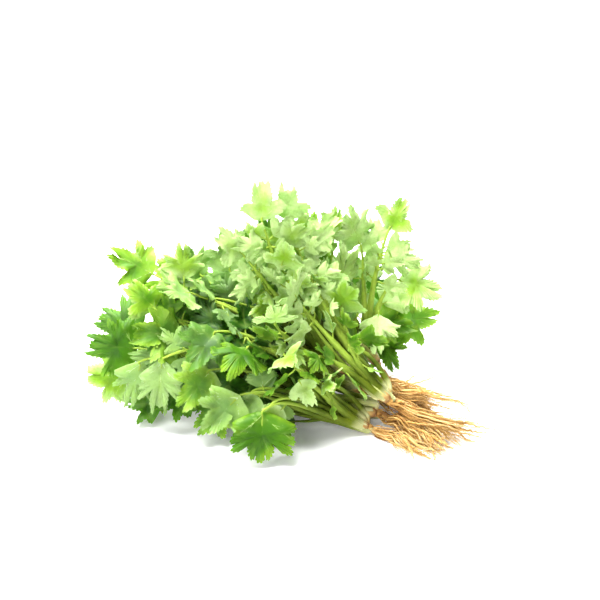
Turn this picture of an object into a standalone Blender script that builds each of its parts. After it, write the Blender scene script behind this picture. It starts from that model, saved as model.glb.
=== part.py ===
"""A bunch of coriander, pulled up whole and laid on its side.

Eight plants lie together with no tie. Each has one green body, its crown with the leaf
stalks and their leaflets, and one tan body, its taproot with the side roots. The leaves
spread towards -X and the roots towards +X. The plants lie on the surface z = 0, and the
origin is on the underside of the leaflet that is pressed flat against that surface.
"""

import math
import random
from dataclasses import dataclass, field, replace

import bpy
import numpy as np
from mathutils import Matrix, Vector
from mathutils.bvhtree import BVHTree

# Leaflets, in metres
BLADE_THICKNESS = 0.0007
TWIG_RADIUS = 0.0006
TWIG_LENGTH = 0.0055
TWIG_LENGTH_SPREAD = (0.8, 1.5)
END_NECK = 0.0012
END_NECK_WIDTH = 0.0007

# The teeth of each lobe, from one edge of the fan at -1 to the other at 1, by leaflet size
FULL_LOBES = ((-0.93, -0.72, -0.50), (-0.20, 0.0, 0.20), (0.50, 0.72, 0.93))
PLAIN_LOBES = ((-0.88, -0.54), (-0.17, 0.17), (0.54, 0.88))
SMALL_LOBES = ((-0.80,), (-0.24, 0.0, 0.24), (0.80,))
FULL_SIZE = 0.0315
SMALL_SIZE = 0.0255
TOOTH_DEPTH = 0.10
SIDE_TAPER = 0.37
PLEATS = 2.8
FLUTTERS = 1.5

# How a leaflet differs from the next: reach of a tooth, fan, cut, droop, cup, pleat, wave
REACH_RANGE = (0.90, 1.08)
FAN_RANGE = (0.93, 1.06)
CUT_RANGE = (0.85, 1.15)
DROOP_RANGE = (0.04, 0.26)
CUP_RANGE = (-0.12, 0.22)
PLEAT_RANGE = (0.03, 0.08)
WAVE_RANGE = (0.03, 0.07)

# The pairs of leaflets behind the end one
PAIR_SPACING = 0.80
PAIR_SWING = (62, 80)
PAIR_SIZES = (0.88, 0.78)
PAIR_SIZE_RANGE = (0.92, 1.08)
PAIR_FAN = 0.88

# Stalks and the crown that they sheathe
STALK_RADIUS_AT_CROWN = 0.0023
STALK_RADIUS_AT_LEAF = 0.0007
STALK_TAPER = 0.6
STALK_SIDES = 4
STALK_STEPS = 5
STALK_HANDLES = (0.34, 0.26)
CROWN_LENGTH = 0.018
CROWN_RADIUS = 0.0042
CROWN_SIDES = 6
CROWN_PROFILE = ((0.0, 0.80), (0.3, 1.0), (0.7, 0.85), (1.0, 0.50))
SHEATH_START = 0.35
SHEATH_OFFSET = 0.0016

# Roots
COLLAR_GAP = 0.0003
ROOT_NECK = 0.004
ROOT_RADIUS = 0.0032
ROOT_TIP_RADIUS = 0.0007
ROOT_SIDES = 5
ROOT_BENDS = 7
ROOT_SWAY = 0.0035
ROOT_SAG = 0.004
SIDE_ROOTS = 7
SIDE_ROOT_RADIUS = 0.0011
SIDE_ROOT_TIP_RADIUS = 0.0005
SIDE_ROOT_LENGTH = (0.022, 0.042)
SIDE_ROOT_SIDES = 3
SIDE_ROOT_STEPS = 4
SIDE_ROOT_ANGLE = 0.36
SIDE_ROOT_WANDER = 0.32

# How high everything but the resting leaflet stays, how far apart, and how long room is sought
LOWEST_STALK = 0.0010
LOWEST_ROOT = 0.0003
LOWEST_BLADE = 0.0010
CLEARANCE = 0.0004
GUARD_START = 0.001
STALK_TRIES = 60
STALK_SPREAD = 0.030
BLADE_TRIES = 80
BLADE_SHRINK = 0.34
BLADE_TURN = (0.10, 0.75)
BLADE_TILT = (0.20, 0.90)
MOST_TURN = 1.2
ROOT_TRIES = 120
ROOT_SPREAD = 0.020

# The middle of the bunch, which the leaves face away from
HEART = Vector((-0.010, 0.026, 0.045))
UP = Vector((0.0, 0.0, 1.0))
FRONT = Vector((0.0, -1.0, 0.0))

LEAF_GREEN = (0.16, 0.36, 0.035, 1.0)
ROOT_TAN = (0.62, 0.36, 0.12, 1.0)


@dataclass(frozen=True)
class LeafPlan:
    """Where a leaf's end leaflet starts and points, its length, and how many pairs are behind it."""

    base: tuple
    aim: tuple
    size: float
    pairs: int
    fan: float = 72.0
    cut: float = 0.38
    level: bool = False


@dataclass(frozen=True)
class PlantPlan:
    """One plant: its crown, the way its stalks leave it, where its taproot ends, its leaves."""

    name: str
    crown: tuple
    lean: tuple
    root_end: tuple
    leaves: tuple


PLANTS = (
    PlantPlan("plant_1", (0.081, -0.009, 0.024), (-0.72, 0.10, 0.60), (0.147, -0.026, 0.007), (
        LeafPlan((0.013, 0.040, 0.137), (0.06, 0.00, 1.00), 0.025, 2, 64, 0.42),
        LeafPlan((0.030, 0.044, 0.120), (0.50, -0.20, 0.80), 0.024, 2, 68),
        LeafPlan((0.018, 0.006, 0.094), (-0.20, -0.45, 0.65), 0.026, 2, 70),
        LeafPlan((0.048, 0.018, 0.080), (0.25, -0.50, 0.70), 0.025, 2, 72),
        LeafPlan((0.034, -0.012, 0.060), (-0.10, -0.80, 0.20), 0.026, 1, 74),
        LeafPlan((0.054, -0.004, 0.064), (0.30, -0.60, 0.50), 0.021, 1, 72),
    )),
    PlantPlan("plant_2", (0.076, 0.050, 0.020), (-0.55, 0.10, 0.80), (0.118, 0.005, 0.005), (
        LeafPlan((0.084, 0.078, 0.113), (0.45, -0.10, 0.85), 0.024, 2, 66),
        LeafPlan((0.064, 0.074, 0.102), (-0.25, -0.10, 0.95), 0.030, 1, 78),
        LeafPlan((0.091, 0.072, 0.076), (0.90, -0.30, -0.10), 0.031, 1, 76),
        LeafPlan((0.050, 0.056, 0.076), (-0.10, -0.30, 0.90), 0.034, 1, 80, 0.32),
        LeafPlan((0.092, 0.104, 0.026), (0.90, -0.10, 0.15), 0.031, 1, 74),
        LeafPlan((0.070, 0.108, 0.044), (0.30, 0.60, 0.50), 0.034, 1, 76),
    )),
    PlantPlan("plant_3", (0.063, 0.010, 0.020), (-0.95, 0.00, 0.22), (0.130, -0.036, 0.003), (
        LeafPlan((-0.092, 0.020, 0.048), (-0.90, -0.25, 0.20), 0.033, 1, 76),
        LeafPlan((-0.062, 0.008, 0.066), (-0.80, -0.35, 0.25), 0.032, 1, 80, 0.34),
        LeafPlan((-0.036, -0.004, 0.074), (-0.35, -0.60, -0.20), 0.029, 1, 76),
        LeafPlan((-0.014, -0.010, 0.066), (-0.20, -0.80, 0.10), 0.029, 1, 76),
        LeafPlan((0.004, -0.012, 0.084), (0.05, -0.55, 0.65), 0.024, 2, 70),
        LeafPlan((-0.078, 0.014, 0.082), (-0.55, -0.10, 0.60), 0.024, 1, 70),
    )),
    PlantPlan("plant_4", (0.054, 0.018, 0.030), (-0.80, 0.10, 0.55), (0.138, -0.014, 0.012), (
        LeafPlan((-0.005, 0.030, 0.140), (-0.06, 0.00, 1.00), 0.025, 2, 64, 0.42),
        LeafPlan((-0.018, 0.024, 0.118), (-0.50, -0.20, 0.75), 0.024, 2, 68),
        LeafPlan((-0.082, 0.042, 0.095), (-0.80, -0.10, 0.50), 0.030, 2, 74),
        LeafPlan((-0.048, 0.052, 0.088), (-0.45, 0.00, 0.75), 0.026, 2, 72),
        LeafPlan((-0.028, 0.044, 0.096), (-0.15, 0.05, 0.90), 0.028, 1, 74),
        LeafPlan((-0.054, 0.026, 0.088), (-0.50, -0.55, 0.30), 0.029, 1, 76),
        LeafPlan((0.008, 0.018, 0.112), (0.10, -0.45, 0.90), 0.024, 1, 72),
    )),
    PlantPlan("plant_5", (0.073, -0.004, 0.0105), (-0.98, 0.00, 0.08), (0.122, -0.046, 0.004), (
        LeafPlan((0.017, 0.000, BLADE_THICKNESS / 2), (-1.0, 0.0, 0.0), 0.034, 0, 76, 0.30, True),
        LeafPlan((-0.099, 0.026, 0.024), (-0.95, -0.10, 0.05), 0.031, 1, 76),
        LeafPlan((-0.073, -0.010, 0.056), (0.00, -0.30, -0.95), 0.034, 1, 68, 0.44),
        LeafPlan((-0.088, -0.002, 0.050), (-0.30, -0.30, -0.85), 0.031, 1, 70, 0.42),
        LeafPlan((-0.076, 0.004, 0.012), (-0.90, -0.20, -0.08), 0.026, 1, 72),
        LeafPlan((-0.040, -0.014, 0.050), (-0.60, -0.60, -0.40), 0.031, 1, 78),
        LeafPlan((-0.054, -0.006, 0.030), (-0.80, -0.45, 0.00), 0.026, 1, 76),
    )),
    PlantPlan("plant_6", (0.067, -0.014, 0.0048), (-0.90, 0.00, 0.40), (0.106, -0.046, 0.003), (
        LeafPlan((-0.004, -0.045, 0.0365), (0.00, -0.44, -0.90), 0.0355, 0, 86, 0.26),
        LeafPlan((-0.020, -0.034, 0.042), (-0.55, -0.45, -0.60), 0.031, 0, 84, 0.30),
        LeafPlan((0.020, -0.028, 0.050), (0.30, -0.60, -0.45), 0.022, 2, 70),
        LeafPlan((-0.030, -0.020, 0.028), (-0.65, -0.45, -0.35), 0.027, 1, 76),
        LeafPlan((0.010, -0.028, 0.070), (0.15, -0.75, 0.30), 0.023, 2, 72),
        LeafPlan((0.036, -0.022, 0.044), (0.45, -0.60, 0.15), 0.019, 1, 74),
    )),
    PlantPlan("plant_7", (0.070, 0.032, 0.007), (-0.96, 0.15, 0.15), (0.113, -0.004, 0.003), (
        LeafPlan((-0.072, 0.070, 0.012), (-0.80, 0.35, 0.02), 0.034, 1, 78),
        LeafPlan((-0.030, 0.084, 0.012), (-0.35, 0.75, 0.06), 0.034, 1, 80),
        LeafPlan((0.016, 0.092, 0.034), (0.10, 0.60, 0.50), 0.035, 1, 80),
        LeafPlan((-0.094, 0.052, 0.044), (-0.90, 0.10, 0.25), 0.033, 1, 78),
        LeafPlan((0.042, 0.084, 0.052), (0.20, 0.30, 0.80), 0.035, 1, 80),
        LeafPlan((0.018, 0.058, 0.058), (-0.10, -0.10, 0.90), 0.034, 1, 80),
    )),
    PlantPlan("plant_8", (0.065, 0.024, 0.017), (-0.92, 0.12, 0.38), (0.124, -0.018, 0.003), (
        LeafPlan((-0.060, 0.068, 0.066), (-0.60, 0.40, 0.55), 0.034, 1, 78),
        LeafPlan((-0.020, 0.078, 0.076), (-0.10, 0.50, 0.75), 0.034, 1, 78),
        LeafPlan((0.020, 0.074, 0.094), (0.20, 0.30, 0.90), 0.031, 1, 76),
        LeafPlan((-0.048, 0.040, 0.058), (-0.75, 0.10, 0.40), 0.033, 1, 80),
        LeafPlan((0.044, 0.062, 0.112), (0.20, 0.10, 0.90), 0.026, 1, 74),
        LeafPlan((0.000, 0.056, 0.102), (-0.10, 0.20, 0.90), 0.029, 1, 76),
    )),
)


@dataclass(frozen=True)
class Tube:
    """A stalk, twig or root: the line through its middle and its radius at each point of it."""

    points: tuple
    radii: tuple
    sides: int

    def mesh(self):
        """Rings of vertices round the line, with a flat cap on each end."""
        points = [Vector(p) for p in self.points]
        tangents = [
            (points[min(i + 1, len(points) - 1)] - points[max(i - 1, 0)]).normalized()
            for i in range(len(points))
        ]
        across = tangents[0].orthogonal().normalized()
        verts = []
        for point, tangent, radius in zip(points, tangents, self.radii):
            across = (across - tangent * across.dot(tangent)).normalized()
            other = tangent.cross(across)
            for k in range(self.sides):
                turn = 2 * math.pi * k / self.sides
                verts.append(point + (across * math.cos(turn) + other * math.sin(turn)) * radius)
        n = self.sides
        faces = [tuple(reversed(range(n)))]
        for ring in range(len(points) - 1):
            for k in range(n):
                a = ring * n + k
                b = ring * n + (k + 1) % n
                faces.append((a, b, b + n, a + n))
        last = (len(points) - 1) * n
        faces.append(tuple(range(last, last + n)))
        return verts, faces

    def before_end(self, distance):
        """The point of the line that is this far, along it, before its end."""
        points = [Vector(p) for p in self.points]
        for a, b in zip(reversed(points[:-1]), reversed(points[1:])):
            length = (b - a).length
            if distance <= length:
                return b.lerp(a, distance / length)
            distance -= length
        return points[0]

    def samples(self, step=0.002):
        """Points every 2 mm or so along the line, with their radii, as one array of x, y, z, radius."""
        rows = []
        for a, b, ra, rb in zip(self.points, self.points[1:], self.radii, self.radii[1:]):
            a = np.array(a)
            b = np.array(b)
            count = max(1, int(np.linalg.norm(b - a) / step))
            for k in range(count):
                share = k / count
                rows.append([*(a + (b - a) * share), ra + (rb - ra) * share])
        rows.append([*self.points[-1], self.radii[-1]])
        return np.array(rows)


def closed(upper, n):
    """The upper faces of a ring of n, the same faces below them, and the edge all round."""
    faces = upper + [tuple(n + k for k in reversed(face)) for face in upper]
    for i in range(n):
        j = (i + 1) % n
        faces.append((i, j, n + i))
        faces.append((j, n + j, n + i))
    return faces


@dataclass(frozen=True)
class Leaflet:
    """One toothed, lobed blade: a fan that spreads from its base about its aim, thin along its face."""

    base: Vector
    aim: Vector
    face: Vector
    size: float
    stem: float
    fan: float
    lobes: tuple
    cut: float
    reaches: tuple
    droop: float
    cup: float
    pleat: float
    wave: float
    phase: float

    def outline(self):
        """Turn from the aim and reach, as shares of the fan and the size, at each tooth and notch."""
        teeth = [(turn, turn == lobe[0]) for lobe in self.lobes for turn in lobe]
        points = []
        for (turn, leads), share in zip(teeth, self.reaches):
            reach = share * (1 - SIDE_TAPER * turn**2)
            if points:
                depth = self.cut if leads else TOOTH_DEPTH
                last = points[-1]
                points.append(((last[0] + turn) / 2, min(last[1], reach) * (1 - depth)))
            points.append((turn, reach))
        return points

    def rise(self, turn, reach):
        """Height of the blade off its own plane, as a share of its size."""
        across = reach * math.sin(turn * math.radians(self.fan))
        fold = abs((turn + 0.5) * PLEATS % 1.0 - 0.5) * 2 - 0.5
        flutter = math.sin(2 * math.pi * (FLUTTERS * turn + self.phase))
        return (
            self.cup * across**2
            - self.droop * reach**2
            + self.pleat * fold * reach
            + self.wave * flutter * reach**3
        )

    def place(self, turn, reach, lift=0.0):
        """The world point at this turn and reach, raised by lift off the blade's middle."""
        angle = turn * math.radians(self.fan)
        side = self.aim.cross(self.face)
        flat = side * math.sin(angle) + self.aim * math.cos(angle)
        height = self.rise(turn, reach) * self.size + lift
        return self.base + flat * (reach * self.size) + self.face * height

    def spot(self, across, along, lift):
        """The world point this far to the side of the base, ahead of it and above it."""
        return self.base + self.aim.cross(self.face) * across + self.aim * along + self.face * lift

    def level(self, waist, depth, lift, start, margin=0.0):
        """One face's ring: the neck's left corner, the outline at this lift, the neck's right."""
        ring = [self.spot(-waist, start, depth)]
        for turn, reach in self.outline():
            ring.append(self.place(turn, reach + margin / self.size, lift))
        return ring + [self.spot(waist, start, depth)]

    def mesh(self):
        """The blade and its twig as one thin closed body, both faces split alike into triangles."""
        waist = TWIG_RADIUS if self.stem else END_NECK_WIDTH / 2
        foot = -(self.stem or END_NECK)
        verts = []
        for sign in (1, -1):
            depth = sign * (TWIG_RADIUS * 0.8 if self.stem else BLADE_THICKNESS / 2)
            ring = self.level(waist, depth, sign * BLADE_THICKNESS / 2, 0.0)
            verts += [self.spot(-waist, foot, depth), *ring, self.spot(waist, foot, depth)]
        n = len(verts) // 2
        upper = [(1, i + 1, i) for i in range(2, n - 2)] + [(0, n - 2, 1), (0, n - 1, n - 2)]
        return verts, closed(upper, n)

    def guard(self, margin):
        """The blade alone with a margin all round, for telling whether it has room."""
        lift = BLADE_THICKNESS / 2 + margin
        verts = []
        for sign in (1, -1):
            verts += self.level(TWIG_RADIUS, sign * lift, sign * lift, GUARD_START, margin)
        n = len(verts) // 2
        return verts, closed([(0, i + 1, i) for i in range(1, n - 1)], n)

    def twig(self):
        """The twig alone, for telling whether it is in the way of anything."""
        line = (tuple(self.base - self.aim * self.stem), tuple(self.base))
        return Tube(line, (TWIG_RADIUS * 1.5, TWIG_RADIUS * 1.5), 4)


@dataclass
class Stalk:
    """A leaf stalk's curve, and the leaflets that it carries."""

    plan: LeafPlan
    tube: Tube
    face: Vector
    joints: list
    leaflets: list = field(default_factory=list)


class Obstacles:
    """The bodies that are laid out already, which the next leaflet has to keep clear of."""

    def __init__(self):
        self.held = []

    def add(self, verts, faces, owner):
        """Keeps this body, under the stalk that it belongs to."""
        co = np.array(verts)
        self.held.append((co.min(0), co.max(0), BVHTree.FromPolygons(verts, faces), owner))

    def add_leaflet(self, leaflet, number):
        """Keeps a leaflet's blade by itself and its twig with the stalk of this number."""
        self.add(*leaflet.guard(0.0), ("blade", number))
        self.add(*leaflet.twig().mesh(), number)

    def meets(self, verts, faces, ignored=None):
        """Whether this body's surface crosses any that is kept, apart from the ignored stalk's."""
        co = np.array(verts)
        lo = co.min(0)
        hi = co.max(0)
        tree = None
        for other_lo, other_hi, other, owner in self.held:
            if owner == ignored or (lo > other_hi).any() or (hi < other_lo).any():
                continue
            tree = tree or BVHTree.FromPolygons(verts, faces)
            if tree.overlap(other):
                return True
        return False


def cubic(ends, share):
    """The point at this share of a cubic Bezier curve."""
    a, b, c, d = ends
    left = 1 - share
    return a * left**3 + b * (3 * left**2 * share) + c * (3 * left * share**2) + d * share**3


def turned(direction, draw, angle):
    """The direction, turned by up to angle radians towards a random side."""
    side = Vector((draw.uniform(-1, 1), draw.uniform(-1, 1), draw.uniform(-1, 1)))
    return (direction + side * math.tan(min(angle, MOST_TURN))).normalized()


def squared(face, aim):
    """The face's direction made square to the aim."""
    square = face - aim * face.dot(aim)
    if square.length < 1e-3:
        square = aim.orthogonal()
    return square.normalized()


def nearest_gap(first, second):
    """The least free distance between two tubes' samples."""
    apart = np.linalg.norm(first[:, None, :3] - second[None, :, :3], axis=2)
    return float((apart - first[:, None, 3] - second[None, :, 3]).min())


def leaf_face(plan, aim):
    """A leaf's upper side looks out from the middle of the bunch, up and to the open front."""
    out = Vector(plan.base) - HEART
    out.x *= 0.5
    return squared(out.normalized() * 0.45 + UP * 0.55 + FRONT * 0.80, aim)


def lay_stalk(plant, plan, draw, others):
    """A curve from the crown to the end leaflet that stays clear of the other plants' stalks."""
    crown = Vector(plant.crown)
    lean = Vector(plant.lean).normalized()
    end = Vector(plan.base)
    aim = Vector(plan.aim).normalized()
    sheath = squared(end - crown, lean) * SHEATH_OFFSET
    start = crown + lean * (CROWN_LENGTH * SHEATH_START) + sheath
    reach = (end - start).length
    leave = (lean * 1.2 + (end - start).normalized()).normalized()
    arrive = (aim * 1.1 + (end - start).normalized()).normalized()
    if plan.level:
        arrive = aim
    best = None
    for attempt in range(STALK_TRIES):
        spread = STALK_SPREAD * attempt / STALK_TRIES
        shift = Vector([draw.uniform(-1, 1) * spread for _ in range(3)])
        nudge = Vector([draw.uniform(-1, 1) * spread * 0.6 for _ in range(3)])
        if plan.level:
            nudge.z = 0.0
        ends = (
            start,
            start + leave * (reach * STALK_HANDLES[0]) + shift,
            end - arrive * (reach * STALK_HANDLES[1]) + nudge,
            end - aim * (END_NECK / 3),
        )
        shares = [k / STALK_STEPS for k in range(STALK_STEPS + 1)]
        points = [cubic(ends, share) for share in shares]
        thinner = STALK_RADIUS_AT_LEAF - STALK_RADIUS_AT_CROWN
        radii = [STALK_RADIUS_AT_CROWN + thinner * share**STALK_TAPER for share in shares]
        lowest = BLADE_THICKNESS / 4 if plan.level else LOWEST_STALK
        points = lifted(points, radii, lowest)
        tube = Tube(points, tuple(radii), STALK_SIDES)
        samples = tube.samples()
        gap = min((nearest_gap(samples, other) for other in others), default=1.0)
        if best is None or gap > best[0]:
            best = (gap, tube)
        if gap > CLEARANCE:
            break
    tube = best[1]
    spacing = plan.size * PAIR_SPACING
    joints = [tube.before_end(spacing * (1 + pair)) for pair in range(plan.pairs)]
    return Stalk(plan, tube, leaf_face(plan, aim), joints)


def shaped(draw, base, aim, face, size, plan):
    """A leaflet with its own small irregularities, and more teeth on a larger one."""
    lobes = PLAIN_LOBES
    if size > FULL_SIZE:
        lobes = FULL_LOBES
    elif size < SMALL_SIZE:
        lobes = SMALL_LOBES
    teeth = sum(len(lobe) for lobe in lobes)
    reaches = tuple(draw.uniform(*REACH_RANGE) for _ in range(teeth))
    fan = plan.fan * draw.uniform(*FAN_RANGE)
    cut = plan.cut * draw.uniform(*CUT_RANGE)
    bends = [draw.uniform(*span) for span in (DROOP_RANGE, CUP_RANGE, PLEAT_RANGE, WAVE_RANGE)]
    if plan.level:
        bends = [0.0, 0.0, 0.0, 0.0]
    return Leaflet(base, aim, face, size, 0.0, fan, lobes, cut, reaches, *bends, draw.random())


def find_room(draft, draw, placed, owner, stem):
    """Turns, tilts and shrinks a leaflet until it and its twig are clear of what is placed.

    The draft starts at the twig's foot. An end leaflet has no twig, so its stem is 0. Returns
    the leaflet, or None where there is no room.
    """
    for attempt in range(BLADE_TRIES):
        share = attempt / BLADE_TRIES
        aim = turned(draft.aim, draw, BLADE_TURN[0] + BLADE_TURN[1] * share)
        tilted = turned(draft.face, draw, BLADE_TILT[0] + BLADE_TILT[1] * share)
        face = squared(tilted, aim)
        length = stem * draw.uniform(*TWIG_LENGTH_SPREAD)
        made = replace(
            draft, base=draft.base + aim * length, aim=aim, face=face,
            size=draft.size * (1.0 - BLADE_SHRINK * share), stem=length,
        )
        verts, faces = made.guard(CLEARANCE)
        if min(v.z for v in verts) < LOWEST_BLADE - CLEARANCE:
            continue
        if placed.meets(verts, faces, None if stem else owner):
            continue
        if stem and placed.meets(*made.twig().mesh(), owner):
            continue
        return made
    return None


def dress_stalks(stalks, placed, draws):
    """Gives every stalk its leaflets, the resting one first, then the end ones, then the pairs."""
    for number, stalk in sorted(enumerate(stalks), key=lambda item: not item[1].plan.level):
        plan = stalk.plan
        base = Vector(plan.base)
        aim = Vector(plan.aim).normalized()
        face = UP if plan.level else stalk.face
        made = shaped(draws[number], base, aim, face, plan.size, plan)
        if not plan.level:
            made = find_room(made, draws[number], placed, number, 0.0)
        if made is not None:
            stalk.leaflets.append(made)
            placed.add_leaflet(made, number)
    for pair in range(max(stalk.plan.pairs for stalk in stalks)):
        for number, stalk in enumerate(stalks):
            if pair < stalk.plan.pairs:
                add_pair(stalk, pair, number, placed, draws[number])


def add_pair(stalk, pair, number, placed, draw):
    """Lays the two leaflets of one pair, one to each side of the stalk."""
    plan = stalk.plan
    joint = stalk.joints[pair]
    along = Vector(plan.aim).normalized()
    for side in (-1, 1):
        swing = math.radians(draw.uniform(*PAIR_SWING)) * side
        aim = Matrix.Rotation(swing, 3, stalk.face) @ along
        size = plan.size * PAIR_SIZES[pair] * draw.uniform(*PAIR_SIZE_RANGE)
        draft = shaped(draw, joint, aim, stalk.face, size, plan)
        draft = replace(draft, fan=draft.fan * PAIR_FAN)
        made = find_room(draft, draw, placed, number, TWIG_LENGTH)
        if made is not None:
            stalk.leaflets.append(made)
            placed.add_leaflet(made, number)


def lifted(points, radii, lowest):
    """The points, raised where a tube of these radii would come lower than this."""
    return tuple((p.x, p.y, max(p.z, r + lowest)) for p, r in zip(points, radii))


def main_root(plant, end, draw):
    """A taproot: straight out of the crown, then swaying on its way to its end."""
    heading = -Vector(plant.lean).normalized()
    start = Vector(plant.crown) + heading * COLLAR_GAP
    neck = start + heading * ROOT_NECK
    way = end - neck
    ends = (neck, neck + heading * (way.length * 0.3), end - way * 0.25 + UP * ROOT_SAG, end)
    points = [start, neck]
    radii = [ROOT_RADIUS, ROOT_RADIUS]
    for i in range(1, ROOT_BENDS + 1):
        share = i / ROOT_BENDS
        side = Vector([draw.uniform(-1, 1) for _ in range(3)]) * (ROOT_SWAY * (1 - 0.5 * share))
        points.append(cubic(ends, share) + side)
        radii.append(ROOT_RADIUS + (ROOT_TIP_RADIUS - ROOT_RADIUS) * share)
    return Tube(lifted(points, radii, LOWEST_ROOT), tuple(radii), ROOT_SIDES)


def side_root(joint, along, draw):
    """A thin root that leaves the taproot at an angle and wanders the same way."""
    heading = turned(along, draw, SIDE_ROOT_ANGLE)
    step = draw.uniform(*SIDE_ROOT_LENGTH) / SIDE_ROOT_STEPS
    points = [joint]
    radii = [SIDE_ROOT_RADIUS]
    for i in range(1, SIDE_ROOT_STEPS + 1):
        heading = (turned(heading, draw, SIDE_ROOT_WANDER) + along * 0.25 - UP * 0.12).normalized()
        points.append(points[-1] + heading * step)
        share = i / SIDE_ROOT_STEPS
        radii.append(SIDE_ROOT_RADIUS + (SIDE_ROOT_TIP_RADIUS - SIDE_ROOT_RADIUS) * share)
    return Tube(lifted(points, radii, LOWEST_ROOT), tuple(radii), SIDE_ROOT_SIDES)


def lay_taproot(plant, draw, taken):
    """A taproot that keeps clear of the other plants' crowns, stalks and taproots."""
    best = None
    for attempt in range(ROOT_TRIES):
        spread = ROOT_SPREAD * attempt / ROOT_TRIES
        end = Vector(plant.root_end) + Vector([draw.uniform(-1, 1) * spread for _ in range(3)])
        tap = main_root(plant, end, draw)
        gap = min(nearest_gap(tap.samples(), other) for other in taken)
        if best is None or gap > best[1]:
            best = (tap, gap)
        if gap > CLEARANCE:
            break
    return best[0]


def lay_side_roots(tap, draw, taken):
    """The side roots along the first part of a taproot, where they have room."""
    points = [Vector(p) for p in tap.points]
    roots = []
    for number in range(SIDE_ROOTS):
        place = 1 + number * (len(points) - 4) / SIDE_ROOTS
        i = int(place)
        joint = points[i].lerp(points[i + 1], place - i)
        along = (points[i + 1] - points[i]).normalized()
        for _ in range(ROOT_TRIES):
            side = side_root(joint, along, draw)
            if min(nearest_gap(side.samples(), other) for other in taken) > CLEARANCE:
                roots.append(side)
                break
    return roots


def crown_tube(plant):
    """The swollen crown that the stalks sheathe."""
    crown = Vector(plant.crown)
    lean = Vector(plant.lean).normalized()
    line = [tuple(crown + lean * (CROWN_LENGTH * share)) for share, _ in CROWN_PROFILE]
    radii = [CROWN_RADIUS * width for _, width in CROWN_PROFILE]
    return Tube(tuple(line), tuple(radii), CROWN_SIDES)


def lay_out():
    """Every plant's crown, stalks and roots, each in the free room that the earlier ones leave."""
    crowns = [crown_tube(plant) for plant in PLANTS]
    rings = [crown.samples() for crown in crowns]
    grown = []
    for number, plant in enumerate(PLANTS):
        others = rings[:number] + rings[number + 1:]
        others += [stalk.tube.samples() for old in grown for stalk in old]
        stalks = []
        for k, plan in enumerate(plant.leaves):
            stalks.append(lay_stalk(plant, plan, random.Random(100 * number + k), others))
        grown.append(stalks)
    every = [stalk for stalks in grown for stalk in stalks]
    taken = [stalk.tube.samples() for stalk in every]
    draws = [random.Random(5000 + number) for number in range(len(PLANTS))]
    taps = []
    for number, plant in enumerate(PLANTS):
        others = taken + rings[:number] + rings[number + 1:]
        taps.append(lay_taproot(plant, draws[number], others))
        taken.append(taps[-1].samples())
    roots = []
    for number, tap in enumerate(taps):
        own = len(every) + number
        others = taken[:own] + taken[own + 1:] + rings[:number] + rings[number + 1:]
        side = lay_side_roots(tap, draws[number], others)
        taken += [root.samples() for root in side]
        roots.append([tap, *side])
    placed = Obstacles()
    for number, stalk in enumerate(every):
        placed.add(*stalk.tube.mesh(), number)
    for crown in crowns:
        placed.add(*crown.mesh(), "crown")
    for root in (root for group in roots for root in group):
        placed.add(*root.mesh(), "root")
    dress_stalks(every, placed, [random.Random(9000 + number) for number in range(len(every))])
    return list(zip(PLANTS, crowns, grown, roots))


def finish(name, colour, roughness):
    """A plain matte material of one colour."""
    material = bpy.data.materials.new(name)
    material.use_nodes = True
    shader = material.node_tree.nodes["Principled BSDF"]
    shader.inputs["Base Color"].default_value = colour
    shader.inputs["Roughness"].default_value = roughness
    shader.inputs["Metallic"].default_value = 0.0
    material.diffuse_color = colour
    return material


def body(name, verts, faces, origin):
    """A new mesh object whose origin is at the given point."""
    mesh = bpy.data.meshes.new(name)
    mesh.from_pydata([v - origin for v in map(Vector, verts)], [], faces)
    mesh.update()
    made = bpy.data.objects.new(name, mesh)
    made.location = origin
    return made


def fused(name, shapes, origin, material, holder):
    """One closed body of shapes that run into each other.

    The manifold solver joins them, because the exact one is slow on so many pieces.
    """
    whole = body(name, *shapes[0], origin)
    bpy.context.scene.collection.objects.link(whole)
    pieces = bpy.data.collections.new(name + "_pieces")
    bpy.context.scene.collection.children.link(pieces)
    for number, shape in enumerate(shapes[1:]):
        pieces.objects.link(body(f"{name}_piece_{number}", *shape, origin))
    join = whole.modifiers.new("join", "BOOLEAN")
    join.operation = "UNION"
    join.operand_type = "COLLECTION"
    join.collection = pieces
    join.solver = "MANIFOLD"
    graph = bpy.context.evaluated_depsgraph_get()
    joined = bpy.data.meshes.new_from_object(whole.evaluated_get(graph))
    whole.modifiers.remove(join)
    whole.data = joined
    for piece in list(pieces.objects):
        bpy.data.objects.remove(piece)
    bpy.data.collections.remove(pieces)
    joined.materials.clear()
    joined.materials.append(material)
    joined.shade_smooth()
    joined.set_sharp_from_angle(angle=math.radians(35))
    whole.parent = holder
    return whole


def build():
    """Clears the scene and makes the bunch, two bodies a plant, under one empty."""
    for old in list(bpy.data.objects):
        bpy.data.objects.remove(old)
    holder = bpy.data.objects.new("coriander_bunch", None)
    bpy.context.scene.collection.objects.link(holder)
    green = finish("leaf_green", LEAF_GREEN, 0.45)
    tan = finish("root_tan", ROOT_TAN, 0.75)
    for plant, crown, stalks, roots in lay_out():
        origin = Vector(plant.crown)
        shapes = [crown.mesh()]
        for stalk in stalks:
            shapes.append(stalk.tube.mesh())
            shapes += [leaflet.mesh() for leaflet in stalk.leaflets]
        fused(plant.name + "_leafy_stems", shapes, origin, green, holder)
        fused(plant.name + "_roots", [root.mesh() for root in roots], origin, tan, holder)


build()
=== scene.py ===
"""The finished look of a bunch of coriander that lies on its side.

Eight plants lie together with their leaves towards -X and their roots towards +X. Each one
carries thin toothed leaf blades with veins, ribbed leaf stalks that sheathe a pale crown, a
taproot with its side roots, and a mass of stringy hair roots. The same rule lays out the
plants here as in the solid model, so every fine piece sits where its solid one is.
"""

import logging
import math
import random
from dataclasses import dataclass, field, replace
from enum import Enum
from typing import Any, Optional, Sequence, Union

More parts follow.
